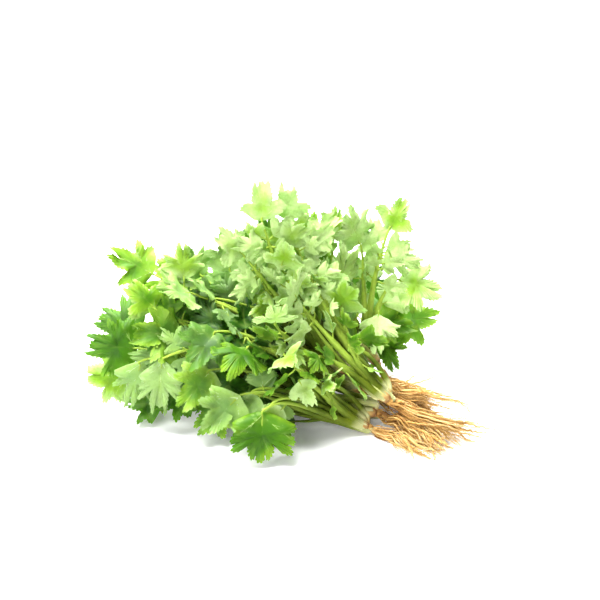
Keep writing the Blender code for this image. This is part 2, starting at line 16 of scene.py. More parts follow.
import bpy
import numpy as np
from mathutils import Matrix, Vector
from mathutils.bvhtree import BVHTree


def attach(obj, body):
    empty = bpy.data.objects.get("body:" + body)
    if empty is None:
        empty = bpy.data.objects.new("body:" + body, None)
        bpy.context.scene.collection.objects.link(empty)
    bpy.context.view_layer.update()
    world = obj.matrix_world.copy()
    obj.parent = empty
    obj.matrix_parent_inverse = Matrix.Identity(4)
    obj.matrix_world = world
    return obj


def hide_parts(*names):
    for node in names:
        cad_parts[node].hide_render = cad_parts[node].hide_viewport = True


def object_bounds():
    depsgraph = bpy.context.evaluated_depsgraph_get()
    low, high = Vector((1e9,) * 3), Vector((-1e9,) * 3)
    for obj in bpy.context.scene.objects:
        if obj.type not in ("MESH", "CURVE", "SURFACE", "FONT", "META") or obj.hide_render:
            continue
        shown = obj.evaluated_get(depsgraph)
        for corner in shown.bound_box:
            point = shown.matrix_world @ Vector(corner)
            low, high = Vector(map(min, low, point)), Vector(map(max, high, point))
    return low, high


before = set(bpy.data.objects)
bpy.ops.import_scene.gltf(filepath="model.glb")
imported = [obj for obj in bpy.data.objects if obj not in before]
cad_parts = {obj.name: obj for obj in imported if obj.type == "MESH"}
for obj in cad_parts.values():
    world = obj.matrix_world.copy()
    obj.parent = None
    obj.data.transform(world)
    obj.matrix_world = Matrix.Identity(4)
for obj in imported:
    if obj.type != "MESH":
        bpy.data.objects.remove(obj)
CAD_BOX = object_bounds()

LOG = logging.getLogger("coriander")
Colour = tuple[float, float, float, float]
Triple = tuple[float, float, float]
Pair = tuple[float, float]
Stops = Sequence[tuple[float, Colour]]
Face = tuple[int, ...]
Shape = tuple[list[Vector], list[Face]]
Ribbing = tuple[int, int, float]
Settings = Optional[dict[str, Any]]
Inputs = Optional[dict[Any, Any]]
Socket = bpy.types.NodeSocket
Material = bpy.types.Material
Piece = bpy.types.Object

# Leaflets, in metres
BLADE_THICKNESS = 0.0007
TWIG_RADIUS = 0.0006
TWIG_LENGTH = 0.0055
TWIG_LENGTH_SPREAD = (0.8, 1.5)
END_NECK = 0.0012

# The teeth of each lobe, from one edge of the fan at -1 to the other at 1, by leaflet size
FULL_LOBES = ((-0.93, -0.72, -0.50), (-0.20, 0.0, 0.20), (0.50, 0.72, 0.93))
PLAIN_LOBES = ((-0.88, -0.54), (-0.17, 0.17), (0.54, 0.88))
SMALL_LOBES = ((-0.80,), (-0.24, 0.0, 0.24), (0.80,))
FULL_SIZE = 0.0315
SMALL_SIZE = 0.0255
TOOTH_DEPTH = 0.10
SIDE_TAPER = 0.37
PLEATS = 2.8
FLUTTERS = 1.5

# How a leaflet differs from the next: reach of a tooth, fan, cut, droop, cup, pleat, wave
REACH_RANGE = (0.90, 1.08)
FAN_RANGE = (0.93, 1.06)
CUT_RANGE = (0.85, 1.15)
DROOP_RANGE = (0.04, 0.26)
CUP_RANGE = (-0.12, 0.22)
PLEAT_RANGE = (0.03, 0.08)
WAVE_RANGE = (0.03, 0.07)

# The pairs of leaflets behind the end one
PAIR_SPACING = 0.80
PAIR_SWING = (62, 80)
PAIR_SIZES = (0.88, 0.78)
PAIR_SIZE_RANGE = (0.92, 1.08)
PAIR_FAN = 0.88

# Stalks and the crown that they sheathe
STALK_RADIUS_AT_CROWN = 0.0023
STALK_RADIUS_AT_LEAF = 0.0007
STALK_TAPER = 0.6
STALK_SIDES = 4
STALK_STEPS = 5
STALK_HANDLES = (0.34, 0.26)
CROWN_LENGTH = 0.018
CROWN_RADIUS = 0.0042
CROWN_SIDES = 6
CROWN_PROFILE = ((0.0, 0.80), (0.3, 1.0), (0.7, 0.85), (1.0, 0.50))
SHEATH_START = 0.35
SHEATH_OFFSET = 0.0016

# Roots
COLLAR_GAP = 0.0003
ROOT_NECK = 0.004
ROOT_RADIUS = 0.0032
ROOT_TIP_RADIUS = 0.0007
ROOT_SIDES = 5
ROOT_BENDS = 7
ROOT_SWAY = 0.0035
ROOT_SAG = 0.004
SIDE_ROOTS = 7
SIDE_ROOT_RADIUS = 0.0011
SIDE_ROOT_TIP_RADIUS = 0.0005
SIDE_ROOT_LENGTH = (0.022, 0.042)
SIDE_ROOT_SIDES = 3
SIDE_ROOT_STEPS = 4
SIDE_ROOT_ANGLE = 0.36
SIDE_ROOT_WANDER = 0.32

# How high everything but the resting leaflet stays, how far apart, and how long room is sought
LOWEST_STALK = 0.0010
LOWEST_ROOT = 0.0003
LOWEST_BLADE = 0.0010
CLEARANCE = 0.0004
GUARD_START = 0.001
STALK_TRIES = 60
STALK_SPREAD = 0.030
BLADE_TRIES = 80
BLADE_SHRINK = 0.34
BLADE_TURN = (0.10, 0.75)
BLADE_TILT = (0.20, 0.90)
MOST_TURN = 1.2
ROOT_TRIES = 120
ROOT_SPREAD = 0.020

# Small young leaflets, which only the finished look has: where they start before the stalk's
# end, how much of it they cover, and how they stand
YOUNG_START = 0.55
YOUNG_SHARE = 0.55
YOUNG_SWING = (35, 85)
YOUNG_SIZE_RANGE = (0.45, 0.78)
YOUNG_MOST = 0.0195
YOUNG_TWIG = 0.0035
YOUNG_SPACING = (0.006, 0.010)
YOUNG_TRIES = 22
YOUNG_LIMIT = 0.012
YOUNG_HIGH = 0.080

# The middle of the bunch, which the leaves face away from, and round which the inner blades get painted
# shade
HEART = Vector((-0.010, 0.026, 0.045))
UP = Vector((0.0, 0.0, 1.0))
FRONT = Vector((0.0, -1.0, 0.0))


class Tone(Enum):
    """The look of a leaf: how light its green is, and how much of a bluish bloom lies on it. The lightness
    is partly the leaf's own green and partly painted light: the lit leaves on top of the bunch are painted
    lighter, and the shaded ones below and inside are painted darker.
    """

    DEEP = (0.14, 0.0)
    MIDDLE = (0.31, 0.06)
    FRESH = (0.58, 0.0)
    BRIGHT = (1.12, 0.0)
    PALE = (0.52, 0.78)

    @property
    def light(self) -> float:
        """How light the green is, from 0 to 1, painted light and shade included."""
        return self.value[0]

    @property
    def bloom(self) -> float:
        """How strong the bluish bloom is, from 0 to 1."""
        return self.value[1]


DEEP, MIDDLE, FRESH, BRIGHT, PALE = Tone


@dataclass(frozen=True)
class LeafPlan:
    """Where a leaf's end leaflet starts and points, its length, its pairs and its tone.

    The last three make the blades narrower, smaller or more deeply cut in the finished look alone.
    """

    base: Triple
    aim: Triple
    size: float
    pairs: int
    tone: Tone
    fan: float = 72.0
    cut: float = 0.38
    level: bool = False
    narrow: float = 1.0
    shrink: float = 1.0
    deeper: float = 0.0


@dataclass(frozen=True)
class PlantPlan:
    """One plant: its crown, the way its stalks leave it, where its taproot ends, its leaves."""

    name: str
    crown: Triple
    lean: Triple
    root_end: Triple
    leaves: tuple[LeafPlan, ...]


PLANTS = (
    PlantPlan("plant_1", (0.081, -0.009, 0.024), (-0.72, 0.10, 0.60), (0.147, -0.026, 0.007), (
        LeafPlan((0.013, 0.040, 0.137), (0.06, 0.00, 1.00), 0.025, 2, BRIGHT, 64, 0.42),
        LeafPlan((0.030, 0.044, 0.120), (0.50, -0.20, 0.80), 0.024, 2, BRIGHT, 68),
        LeafPlan((0.018, 0.006, 0.094), (-0.20, -0.45, 0.65), 0.026, 2, BRIGHT, 70, deeper=0.10),
        LeafPlan((0.048, 0.018, 0.080), (0.25, -0.50, 0.70), 0.025, 2, FRESH, 72),
        LeafPlan((0.034, -0.012, 0.060), (-0.10, -0.80, 0.20), 0.026, 1, FRESH, 74, shrink=0.75),
        LeafPlan((0.054, -0.004, 0.064), (0.30, -0.60, 0.50), 0.021, 1, FRESH, 72, shrink=0.62),
    )),
    PlantPlan("plant_2", (0.076, 0.050, 0.020), (-0.55, 0.10, 0.80), (0.118, 0.005, 0.005), (
        LeafPlan((0.084, 0.078, 0.113), (0.45, -0.10, 0.85), 0.024, 2, BRIGHT, 66),
        LeafPlan((0.064, 0.074, 0.102), (-0.25, -0.10, 0.95), 0.030, 1, BRIGHT, 78),
        LeafPlan((0.091, 0.072, 0.076), (0.90, -0.30, -0.10), 0.031, 1, BRIGHT, 76),
        LeafPlan((0.050, 0.056, 0.076), (-0.10, -0.30, 0.90), 0.034, 1, FRESH, 80, 0.32),
        LeafPlan((0.092, 0.104, 0.026), (0.90, -0.10, 0.15), 0.031, 1, MIDDLE, 74),
        LeafPlan((0.070, 0.108, 0.044), (0.30, 0.60, 0.50), 0.034, 1, MIDDLE, 76),
    )),
    PlantPlan("plant_3", (0.063, 0.010, 0.020), (-0.95, 0.00, 0.22), (0.130, -0.036, 0.003), (
        LeafPlan((-0.092, 0.020, 0.048), (-0.90, -0.25, 0.20), 0.033, 1, MIDDLE, 76),
        LeafPlan((-0.062, 0.008, 0.066), (-0.80, -0.35, 0.25), 0.032, 1, MIDDLE, 80, 0.34),
        LeafPlan((-0.036, -0.004, 0.074), (-0.35, -0.60, -0.20), 0.029, 1, MIDDLE, 76),
        LeafPlan((-0.014, -0.010, 0.066), (-0.20, -0.80, 0.10), 0.029, 1, FRESH, 76),
        LeafPlan((0.004, -0.012, 0.084), (0.05, -0.55, 0.65), 0.024, 2, BRIGHT, 70),
        LeafPlan((-0.078, 0.014, 0.082), (-0.55, -0.10, 0.60), 0.024, 1, MIDDLE, 70),
    )),
    PlantPlan("plant_4", (0.054, 0.018, 0.030), (-0.80, 0.10, 0.55), (0.138, -0.014, 0.012), (
        LeafPlan((-0.005, 0.030, 0.140), (-0.06, 0.00, 1.00), 0.025, 2, BRIGHT, 64, 0.42),
        LeafPlan((-0.018, 0.024, 0.118), (-0.50, -0.20, 0.75), 0.024, 2, BRIGHT, 68),
        LeafPlan((-0.082, 0.042, 0.095), (-0.80, -0.10, 0.50), 0.030, 2, FRESH, 74, deeper=0.12),
        LeafPlan((-0.048, 0.052, 0.088), (-0.45, 0.00, 0.75), 0.026, 2, PALE, 72),
        LeafPlan((-0.028, 0.044, 0.096), (-0.15, 0.05, 0.90), 0.028, 1, PALE, 74),
        LeafPlan((-0.054, 0.026, 0.088), (-0.50, -0.55, 0.30), 0.029, 1, PALE, 76),
        LeafPlan((0.008, 0.018, 0.112), (0.10, -0.45, 0.90), 0.024, 1, BRIGHT, 72),
    )),
    PlantPlan("plant_5", (0.073, -0.004, 0.0105), (-0.98, 0.00, 0.08), (0.122, -0.046, 0.004), (
        LeafPlan((0.017, 0.000, BLADE_THICKNESS / 2), (-1.0, 0.0, 0.0), 0.034, 0, MIDDLE, 76, 0.30, True),
        LeafPlan((-0.099, 0.026, 0.024), (-0.95, -0.10, 0.05), 0.031, 1, FRESH, 76),
        LeafPlan(
            (-0.073, -0.010, 0.056), (0.00, -0.30, -0.95), 0.034, 1, PALE, 68, 0.44,
            narrow=0.80, deeper=-0.06,
        ),
        LeafPlan(
            (-0.088, -0.002, 0.050), (-0.30, -0.30, -0.85), 0.031, 1, PALE, 70, 0.42,
            narrow=0.80, deeper=-0.06,
        ),
        LeafPlan((-0.076, 0.004, 0.012), (-0.90, -0.20, -0.08), 0.026, 1, DEEP, 72),
        LeafPlan((-0.040, -0.014, 0.050), (-0.60, -0.60, -0.40), 0.031, 1, MIDDLE, 78),
        LeafPlan((-0.054, -0.006, 0.030), (-0.80, -0.45, 0.00), 0.026, 1, MIDDLE, 76),
    )),
    PlantPlan("plant_6", (0.067, -0.014, 0.0048), (-0.90, 0.00, 0.40), (0.106, -0.046, 0.003), (
        LeafPlan((-0.004, -0.045, 0.0365), (0.00, -0.44, -0.90), 0.0355, 0, FRESH, 86, 0.26, narrow=0.82),
        LeafPlan((-0.020, -0.034, 0.042), (-0.55, -0.45, -0.60), 0.031, 0, PALE, 84, 0.30, narrow=0.82),
        LeafPlan((0.020, -0.028, 0.050), (0.30, -0.60, -0.45), 0.022, 2, BRIGHT, 70, shrink=0.82),
        LeafPlan((-0.030, -0.020, 0.028), (-0.65, -0.45, -0.35), 0.027, 1, MIDDLE, 76),
        LeafPlan((0.010, -0.028, 0.070), (0.15, -0.75, 0.30), 0.023, 2, FRESH, 72),
        LeafPlan((0.036, -0.022, 0.044), (0.45, -0.60, 0.15), 0.019, 1, FRESH, 74, shrink=0.60),
    )),
    PlantPlan("plant_7", (0.070, 0.032, 0.007), (-0.96, 0.15, 0.15), (0.113, -0.004, 0.003), (
        LeafPlan((-0.072, 0.070, 0.012), (-0.80, 0.35, 0.02), 0.034, 1, MIDDLE, 78),
        LeafPlan((-0.030, 0.084, 0.012), (-0.35, 0.75, 0.06), 0.034, 1, MIDDLE, 80),
        LeafPlan((0.016, 0.092, 0.034), (0.10, 0.60, 0.50), 0.035, 1, MIDDLE, 80),
        LeafPlan((-0.094, 0.052, 0.044), (-0.90, 0.10, 0.25), 0.033, 1, MIDDLE, 78),
        LeafPlan((0.042, 0.084, 0.052), (0.20, 0.30, 0.80), 0.035, 1, MIDDLE, 80),
        LeafPlan((0.018, 0.058, 0.058), (-0.10, -0.10, 0.90), 0.034, 1, DEEP, 80),
    )),
    PlantPlan("plant_8", (0.065, 0.024, 0.017), (-0.92, 0.12, 0.38), (0.124, -0.018, 0.003), (
        LeafPlan((-0.060, 0.068, 0.066), (-0.60, 0.40, 0.55), 0.034, 1, MIDDLE, 78),
        LeafPlan((-0.020, 0.078, 0.076), (-0.10, 0.50, 0.75), 0.034, 1, PALE, 78),
        LeafPlan((0.020, 0.074, 0.094), (0.20, 0.30, 0.90), 0.031, 1, MIDDLE, 76),
        LeafPlan((-0.048, 0.040, 0.058), (-0.75, 0.10, 0.40), 0.033, 1, DEEP, 80),
        LeafPlan((0.044, 0.062, 0.112), (0.20, 0.10, 0.90), 0.026, 1, FRESH, 74),
        LeafPlan((0.000, 0.056, 0.102), (-0.10, 0.20, 0.90), 0.029, 1, MIDDLE, 76),
    )),
)


@dataclass(frozen=True)
class Tube:
    """A stalk, twig or root: the line through its middle and its radius at each point of it."""

    points: tuple[Triple, ...]
    radii: tuple[float, ...]
    sides: int

    def mesh(self) -> Shape:
        """Rings of vertices round the line, with a flat cap on each end.

        Returns:
            The vertices and the faces.
        """
        points = [Vector(p) for p in self.points]
        tangents = [
            (points[min(i + 1, len(points) - 1)] - points[max(i - 1, 0)]).normalized()
            for i in range(len(points))
        ]
        across = tangents[0].orthogonal().normalized()
        verts = []
        for point, tangent, radius in zip(points, tangents, self.radii):
            across = (across - tangent * across.dot(tangent)).normalized()
            other = tangent.cross(across)
            for k in range(self.sides):
                turn = 2 * math.pi * k / self.sides
                verts.append(point + (across * math.cos(turn) + other * math.sin(turn)) * radius)
        n = self.sides
        faces = [tuple(reversed(range(n)))]
        for ring in range(len(points) - 1):
            for k in range(n):
                a = ring * n + k
                b = ring * n + (k + 1) % n
                faces.append((a, b, b + n, a + n))
        last = (len(points) - 1) * n
        faces.append(tuple(range(last, last + n)))
        return verts, faces

    def before_end(self, distance: float) -> Vector:
        """The point of the line that is this far, along it, before its end.

        Args:
            distance: how far before the end, in metres.

        Returns:
            The point, or the line's start where the line is shorter.
        """
        points = [Vector(p) for p in self.points]
        for a, b in zip(reversed(points[:-1]), reversed(points[1:])):
            length = (b - a).length
            if distance <= length:
                return b.lerp(a, distance / length)
            distance -= length
        return points[0]

    def samples(self, step: float = 0.002) -> np.ndarray:
        """Points along the line with their radii.

        Args:
            step: the distance from one point to the next, in metres.

        Returns:
            One row of x, y, z and radius for each point.
        """
        rows = []
        for a, b, ra, rb in zip(self.points, self.points[1:], self.radii, self.radii[1:]):
            start = np.array(a)
            way = np.array(b) - start
            count = max(1, int(np.linalg.norm(way) / step))
            for k in range(count):
                share = k / count
                rows.append([*(start + way * share), ra + (rb - ra) * share])
        rows.append([*self.points[-1], self.radii[-1]])
        return np.array(rows)


def closed(upper: list[Face], n: int) -> list[Face]:
    """Closes two rings of n vertices, one above the other, into a thin body.

    Args:
        upper: the faces of the upper ring.
        n: how many vertices a ring has.

    Returns:
        The upper faces, the same faces below them, and the edge all round.
    """
    faces = upper + [tuple(n + k for k in reversed(face)) for face in upper]
    for i in range(n):
        j = (i + 1) % n
        faces.append((i, j, n + i))
        faces.append((j, n + j, n + i))
    return faces


@dataclass(frozen=True)
class Leaflet:
    """The plan of one toothed, lobed blade: a fan that spreads from its base about its aim."""

    base: Vector
    aim: Vector
    face: Vector
    size: float
    stem: float
    fan: float
    lobes: tuple[tuple[float, ...], ...]
    cut: float
    reaches: tuple[float, ...]
    droop: float
    cup: float
    pleat: float
    wave: float
    phase: float

    def outline(self) -> list[tuple[float, float]]:
        """Turn from the aim and reach, as shares of the fan and the size, at teeth and notches."""
        teeth = [(turn, turn == lobe[0]) for lobe in self.lobes for turn in lobe]
        points: list[tuple[float, float]] = []
        for (turn, leads), share in zip(teeth, self.reaches):
            reach = share * (1 - SIDE_TAPER * turn**2)
            if points:
                depth = self.cut if leads else TOOTH_DEPTH
                last = points[-1]
                points.append(((last[0] + turn) / 2, min(last[1], reach) * (1 - depth)))
            points.append((turn, reach))
        return points

    def rise(self, turn: float, reach: float) -> float:
        """Height of the blade off its own plane.

        Args:
            turn: the turn from the aim, as a share of the fan.
            reach: the distance from the base, as a share of the size.

        Returns:
            The height as a share of the size.
        """
        across = reach * math.sin(turn * math.radians(self.fan))
        fold = abs((turn + 0.5) * PLEATS % 1.0 - 0.5) * 2 - 0.5
        flutter = math.sin(2 * math.pi * (FLUTTERS * turn + self.phase))
        return (
            self.cup * across**2
            - self.droop * reach**2
            + self.pleat * fold * reach
            + self.wave * flutter * reach**3
        )

    def place(self, turn: float, reach: float, lift: float = 0.0) -> Vector:
        """The world point at this turn and reach.

        Args:
            turn: the turn from the aim, as a share of the fan.
            reach: the distance from the base, as a share of the size.
            lift: how far the point is raised off the blade's middle, in metres.

        Returns:
            The point.
        """
        angle = turn * math.radians(self.fan)
        side = self.aim.cross(self.face)
        flat = side * math.sin(angle) + self.aim * math.cos(angle)
        height = self.rise(turn, reach) * self.size + lift
        return self.base + flat * (reach * self.size) + self.face * height

    def spot(self, across: float, along: float, lift: float) -> Vector:
        """The world point this far to the side of the base, ahead of it and above it."""
        return self.base + self.aim.cross(self.face) * across + self.aim * along + self.face * lift

    def guard(self, margin: float) -> Shape:
        """The blade with a margin all round, for telling whether it has room.

        Args:
            margin: how far the body stands off the blade, in metres.

        Returns:
            The vertices and the faces of a closed body.
        """
        lift = BLADE_THICKNESS / 2 + margin
        verts = []
        for sign in (1, -1):
            verts.append(self.spot(-TWIG_RADIUS, GUARD_START, sign * lift))
            for turn, reach in self.outline():
                verts.append(self.place(turn, reach + margin / self.size, sign * lift))
            verts.append(self.spot(TWIG_RADIUS, GUARD_START, sign * lift))
        n = len(verts) // 2
        return verts, closed([(0, i + 1, i) for i in range(1, n - 1)], n)

    def twig(self) -> Tube:
        """The twig alone, for telling whether it is in the way of anything."""
        line = (tuple(self.base - self.aim * self.stem), tuple(self.base))
        return Tube(line, (TWIG_RADIUS * 1.5, TWIG_RADIUS * 1.5), 4)


@dataclass
class Stalk:
    """A leaf stalk's curve, and the leaflets that it carries."""

    plan: LeafPlan
    tube: Tube
    face: Vector
    joints: list[Vector]
    leaflets: list[Leaflet] = field(default_factory=list)


class Obstacles:
    """The bodies that are laid out already, which the next leaflet has to keep clear of."""

    def __init__(self) -> None:
        """Starts with nothing in the way."""
        self.held: list[tuple[np.ndarray, np.ndarray, BVHTree, Any]] = []

    def add(self, verts: list[Vector], faces: list[Face], owner: Any) -> None:
        """Keeps a body.

        Args:
            verts: its vertices.
            faces: its faces.
            owner: the number of the stalk that it belongs to, or any other mark.
        """
        co = np.array(verts)
        self.held.append((co.min(0), co.max(0), BVHTree.FromPolygons(verts, faces), owner))

    def add_leaflet(self, leaflet: Leaflet, number: int) -> None:
        """Keeps a leaflet's blade by itself and its twig with the stalk of this number."""
        self.add(*leaflet.guard(0.0), ("blade", number))
        self.add(*leaflet.twig().mesh(), number)

    def meets(self, verts: list[Vector], faces: list[Face], ignored: Any = None) -> bool:
        """Whether a body's surface crosses any that is kept.

        Args:
            verts: the body's vertices.
            faces: the body's faces.
            ignored: the owner whose bodies don't count.

        Returns:
            True where it crosses one.
        """
        co = np.array(verts)
        lo = co.min(0)
        hi = co.max(0)
        tree = None
        for other_lo, other_hi, other, owner in self.held:
            if owner == ignored or (lo > other_hi).any() or (hi < other_lo).any():
                continue
            tree = tree or BVHTree.FromPolygons(verts, faces)
            if tree.overlap(other):
                return True
        return False


def cubic(ends: Sequence[Vector], share: float) -> Vector:
    """The point at this share of a cubic Bezier curve."""
    a, b, c, d = ends
    left = 1 - share
    return a * left**3 + b * (3 * left**2 * share) + c * (3 * left * share**2) + d * share**3


def turned(direction: Vector, draw: random.Random, angle: float) -> Vector:
    """The direction, turned by up to angle radians towards a random side."""
    side = Vector((draw.uniform(-1, 1), draw.uniform(-1, 1), draw.uniform(-1, 1)))
    return (direction + side * math.tan(min(angle, MOST_TURN))).normalized()


def squared(face: Vector, aim: Vector) -> Vector:
    """The face's direction made square to the aim."""
    square = face - aim * face.dot(aim)
    if square.length < 1e-3:
        square = aim.orthogonal()
    return square.normalized()


def nearest_gap(first: np.ndarray, second: np.ndarray) -> float:
    """The least free distance between two tubes' samples."""
    apart = np.linalg.norm(first[:, None, :3] - second[None, :, :3], axis=2)
    return float((apart - first[:, None, 3] - second[None, :, 3]).min())


def leaf_face(plan: LeafPlan, aim: Vector) -> Vector:
    """A leaf's upper side looks out from the middle of the bunch, up and to the open front."""
    out = Vector(plan.base) - HEART
    out.x *= 0.5
    return squared(out.normalized() * 0.45 + UP * 0.55 + FRONT * 0.80, aim)


def lifted(points: Sequence[Vector], radii: Sequence[float], lowest: float) -> tuple[Triple, ...]:
    """The points, raised where a tube of these radii would come lower than this."""
    return tuple((p.x, p.y, max(p.z, r + lowest)) for p, r in zip(points, radii))


def crown_tube(plant: PlantPlan) -> Tube:
    """The swollen crown that the stalks sheathe."""
    crown = Vector(plant.crown)
    lean = Vector(plant.lean).normalized()
    line = [tuple(crown + lean * (CROWN_LENGTH * share)) for share, _ in CROWN_PROFILE]
    radii = [CROWN_RADIUS * width for _, width in CROWN_PROFILE]
    return Tube(tuple(line), tuple(radii), CROWN_SIDES)


def lay_stalk(
    plant: PlantPlan, plan: LeafPlan, draw: random.Random, others: list[np.ndarray]
) -> Stalk:
    """A curve from the crown to the end leaflet that stays clear of the other plants' stalks.

    Args:
        plant: the plant that the stalk grows on.
        plan: the leaf that it carries.
        draw: the stalk's own source of chance.
        others: samples of the stalks and crowns to stay clear of.

    Returns:
        The stalk with no leaflets on it yet.
    """
    crown = Vector(plant.crown)
    lean = Vector(plant.lean).normalized()
    end = Vector(plan.base)
    aim = Vector(plan.aim).normalized()
    sheath = squared(end - crown, lean) * SHEATH_OFFSET
    start = crown + lean * (CROWN_LENGTH * SHEATH_START) + sheath
    reach = (end - start).length
    leave = (lean * 1.2 + (end - start).normalized()).normalized()
    arrive = (aim * 1.1 + (end - start).normalized()).normalized()
    if plan.level:
        arrive = aim
    best: Optional[tuple[float, Tube]] = None
    for attempt in range(STALK_TRIES):
        spread = STALK_SPREAD * attempt / STALK_TRIES
        shift = Vector([draw.uniform(-1, 1) * spread for _ in range(3)])
        nudge = Vector([draw.uniform(-1, 1) * spread * 0.6 for _ in range(3)])
        if plan.level:
            nudge.z = 0.0
        ends = (
            start,
            start + leave * (reach * STALK_HANDLES[0]) + shift,
            end - arrive * (reach * STALK_HANDLES[1]) + nudge,
            end - aim * (END_NECK / 3),
        )
        shares = [k / STALK_STEPS for k in range(STALK_STEPS + 1)]
        points = [cubic(ends, share) for share in shares]
        thinner = STALK_RADIUS_AT_LEAF - STALK_RADIUS_AT_CROWN
        radii = [STALK_RADIUS_AT_CROWN + thinner * share**STALK_TAPER for share in shares]
        lowest = BLADE_THICKNESS / 4 if plan.level else LOWEST_STALK
        tube = Tube(lifted(points, radii, lowest), tuple(radii), STALK_SIDES)
        samples = tube.samples()
        gap = min((nearest_gap(samples, other) for other in others), default=1.0)
        if best is None or gap > best[0]:
            best = (gap, tube)
        if gap > CLEARANCE:
            break
    tube = best[1]
    spacing = plan.size * PAIR_SPACING
    joints = [tube.before_end(spacing * (1 + pair)) for pair in range(plan.pairs)]
    return Stalk(plan, tube, leaf_face(plan, aim), joints)


def shaped(
    draw: random.Random, base: Vector, aim: Vector, face: Vector, size: float, plan: LeafPlan
) -> Leaflet:
    """A leaflet with its own small irregularities, and more teeth on a larger one.

    Args:
        draw: the stalk's own source of chance.
        base: where the leaflet starts.
        aim: where it points.
        face: where its upper side looks.
        size: its length in metres.
        plan: the leaf that it belongs to.

    Returns:
        The leaflet, with no twig.
    """
    lobes = PLAIN_LOBES
    if size > FULL_SIZE:
        lobes = FULL_LOBES
    elif size < SMALL_SIZE:
        lobes = SMALL_LOBES
    teeth = sum(len(lobe) for lobe in lobes)
    reaches = tuple(draw.uniform(*REACH_RANGE) for _ in range(teeth))
    fan = plan.fan * draw.uniform(*FAN_RANGE)
    cut = plan.cut * draw.uniform(*CUT_RANGE)
    bends = [draw.uniform(*span) for span in (DROOP_RANGE, CUP_RANGE, PLEAT_RANGE, WAVE_RANGE)]
    if plan.level:
        bends = [0.0, 0.0, 0.0, 0.0]
    return Leaflet(base, aim, face, size, 0.0, fan, lobes, cut, reaches, *bends, draw.random())


def find_room(
    draft: Leaflet, draw: random.Random, placed: Obstacles, owner: int, stem: float,
    tries: int = BLADE_TRIES,
) -> Optional[Leaflet]:
    """Turns, tilts and shrinks a leaflet until it and its twig are clear of what is placed.

    Args:
        draft: the leaflet, which starts at its twig's foot.
        draw: the stalk's own source of chance.
        placed: what is in the way.
        owner: the number of its stalk.
        stem: its twig's length in metres, 0 for an end leaflet.
        tries: how many times room is sought.

    Returns:
        The leaflet, or None where there is no room.
    """
    for attempt in range(tries):
        share = attempt / BLADE_TRIES
        aim = turned(draft.aim, draw, BLADE_TURN[0] + BLADE_TURN[1] * share)
        tilted = turned(draft.face, draw, BLADE_TILT[0] + BLADE_TILT[1] * share)
        face = squared(tilted, aim)
        length = stem * draw.uniform(*TWIG_LENGTH_SPREAD)
        made = replace(
            draft, base=draft.base + aim * length, aim=aim, face=face,
            size=draft.size * (1.0 - BLADE_SHRINK * share), stem=length,
        )
        verts, faces = made.guard(CLEARANCE)
        if min(v.z for v in verts) < LOWEST_BLADE - CLEARANCE:
            continue
        if placed.meets(verts, faces, None if stem else owner):
            continue
        if stem and placed.meets(*made.twig().mesh(), owner):
            continue
        return made
    return None


def add_pair(stalk: Stalk, pair: int, number: int, placed: Obstacles, draw: random.Random) -> None:
    """Lays the two leaflets of one pair, one to each side of the stalk.

    Args:
        stalk: the stalk.
        pair: which pair, counted back from the end leaflet.
        number: the stalk's number.
        placed: what is in the way.
        draw: the stalk's own source of chance.
    """
    plan = stalk.plan
    joint = stalk.joints[pair]
    along = Vector(plan.aim).normalized()
    for side in (-1, 1):
        swing = math.radians(draw.uniform(*PAIR_SWING)) * side
        aim = Matrix.Rotation(swing, 3, stalk.face) @ along
        size = plan.size * PAIR_SIZES[pair] * draw.uniform(*PAIR_SIZE_RANGE)
        draft = shaped(draw, joint, aim, stalk.face, size, plan)
        draft = replace(draft, fan=draft.fan * PAIR_FAN)
        made = find_room(draft, draw, placed, number, TWIG_LENGTH)
        if made is not None:
            stalk.leaflets.append(made)
            placed.add_leaflet(made, number)


def dress_stalks(stalks: list[Stalk], placed: Obstacles, draws: list[random.Random]) -> None:
    """Gives every stalk its leaflets, the resting one first, then the end ones, then the pairs.

    Args:
        stalks: every plant's stalks.
        placed: what is in the way.
        draws: each stalk's own source of chance.
    """
    for number, stalk in sorted(enumerate(stalks), key=lambda item: not item[1].plan.level):
        plan = stalk.plan
        base = Vector(plan.base)
        aim = Vector(plan.aim).normalized()
        face = UP if plan.level else stalk.face
        made = shaped(draws[number], base, aim, face, plan.size, plan)
        if not plan.level:
            made = find_room(made, draws[number], placed, number, 0.0)
        if made is not None:
            stalk.leaflets.append(made)
            placed.add_leaflet(made, number)
    for pair in range(max(stalk.plan.pairs for stalk in stalks)):
        for number, stalk in enumerate(stalks):
            if pair < stalk.plan.pairs:
                add_pair(stalk, pair, number, placed, draws[number])


def add_young_leaflets(stalk: Stalk, number: int, placed: Obstacles, draw: random.Random) -> None:
    """Lays small young leaflets between and behind the pairs, where they have room.

    Args:
        stalk: the stalk.
        number: the stalk's number.
        placed: what is in the way.
        draw: the stalk's own source of chance.
    """
    plan = stalk.plan
    if plan.level:
        return
    length = sum(
        (Vector(b) - Vector(a)).length for a, b in zip(stalk.tube.points, stalk.tube.points[1:])
    )
    back = YOUNG_START * plan.size
    high = plan.tone is BRIGHT and plan.base[2] > YOUNG_HIGH
    while back < length * YOUNG_SHARE:
        joint = stalk.tube.before_end(back)
        if joint.x > YOUNG_LIMIT and joint.z < YOUNG_HIGH:
            break
        ahead = (stalk.tube.before_end(back - 0.002) - joint).normalized()
        face = squared(stalk.face, ahead)
        for side in (-1, 1):
            swing = math.radians(draw.uniform(*YOUNG_SWING)) * side
            aim = Matrix.Rotation(swing, 3, face) @ ahead
            size = min(plan.size * draw.uniform(*YOUNG_SIZE_RANGE), YOUNG_MOST)
            draft = shaped(draw, joint, aim, face, size, plan)
            tries = YOUNG_TRIES * 3 if high else YOUNG_TRIES
            made = find_room(draft, draw, placed, number, YOUNG_TWIG, tries)
            if made is not None:
                stalk.leaflets.append(made)
                placed.add_leaflet(made, number)
        back += draw.uniform(*YOUNG_SPACING) * (0.5 if high else 1.0)


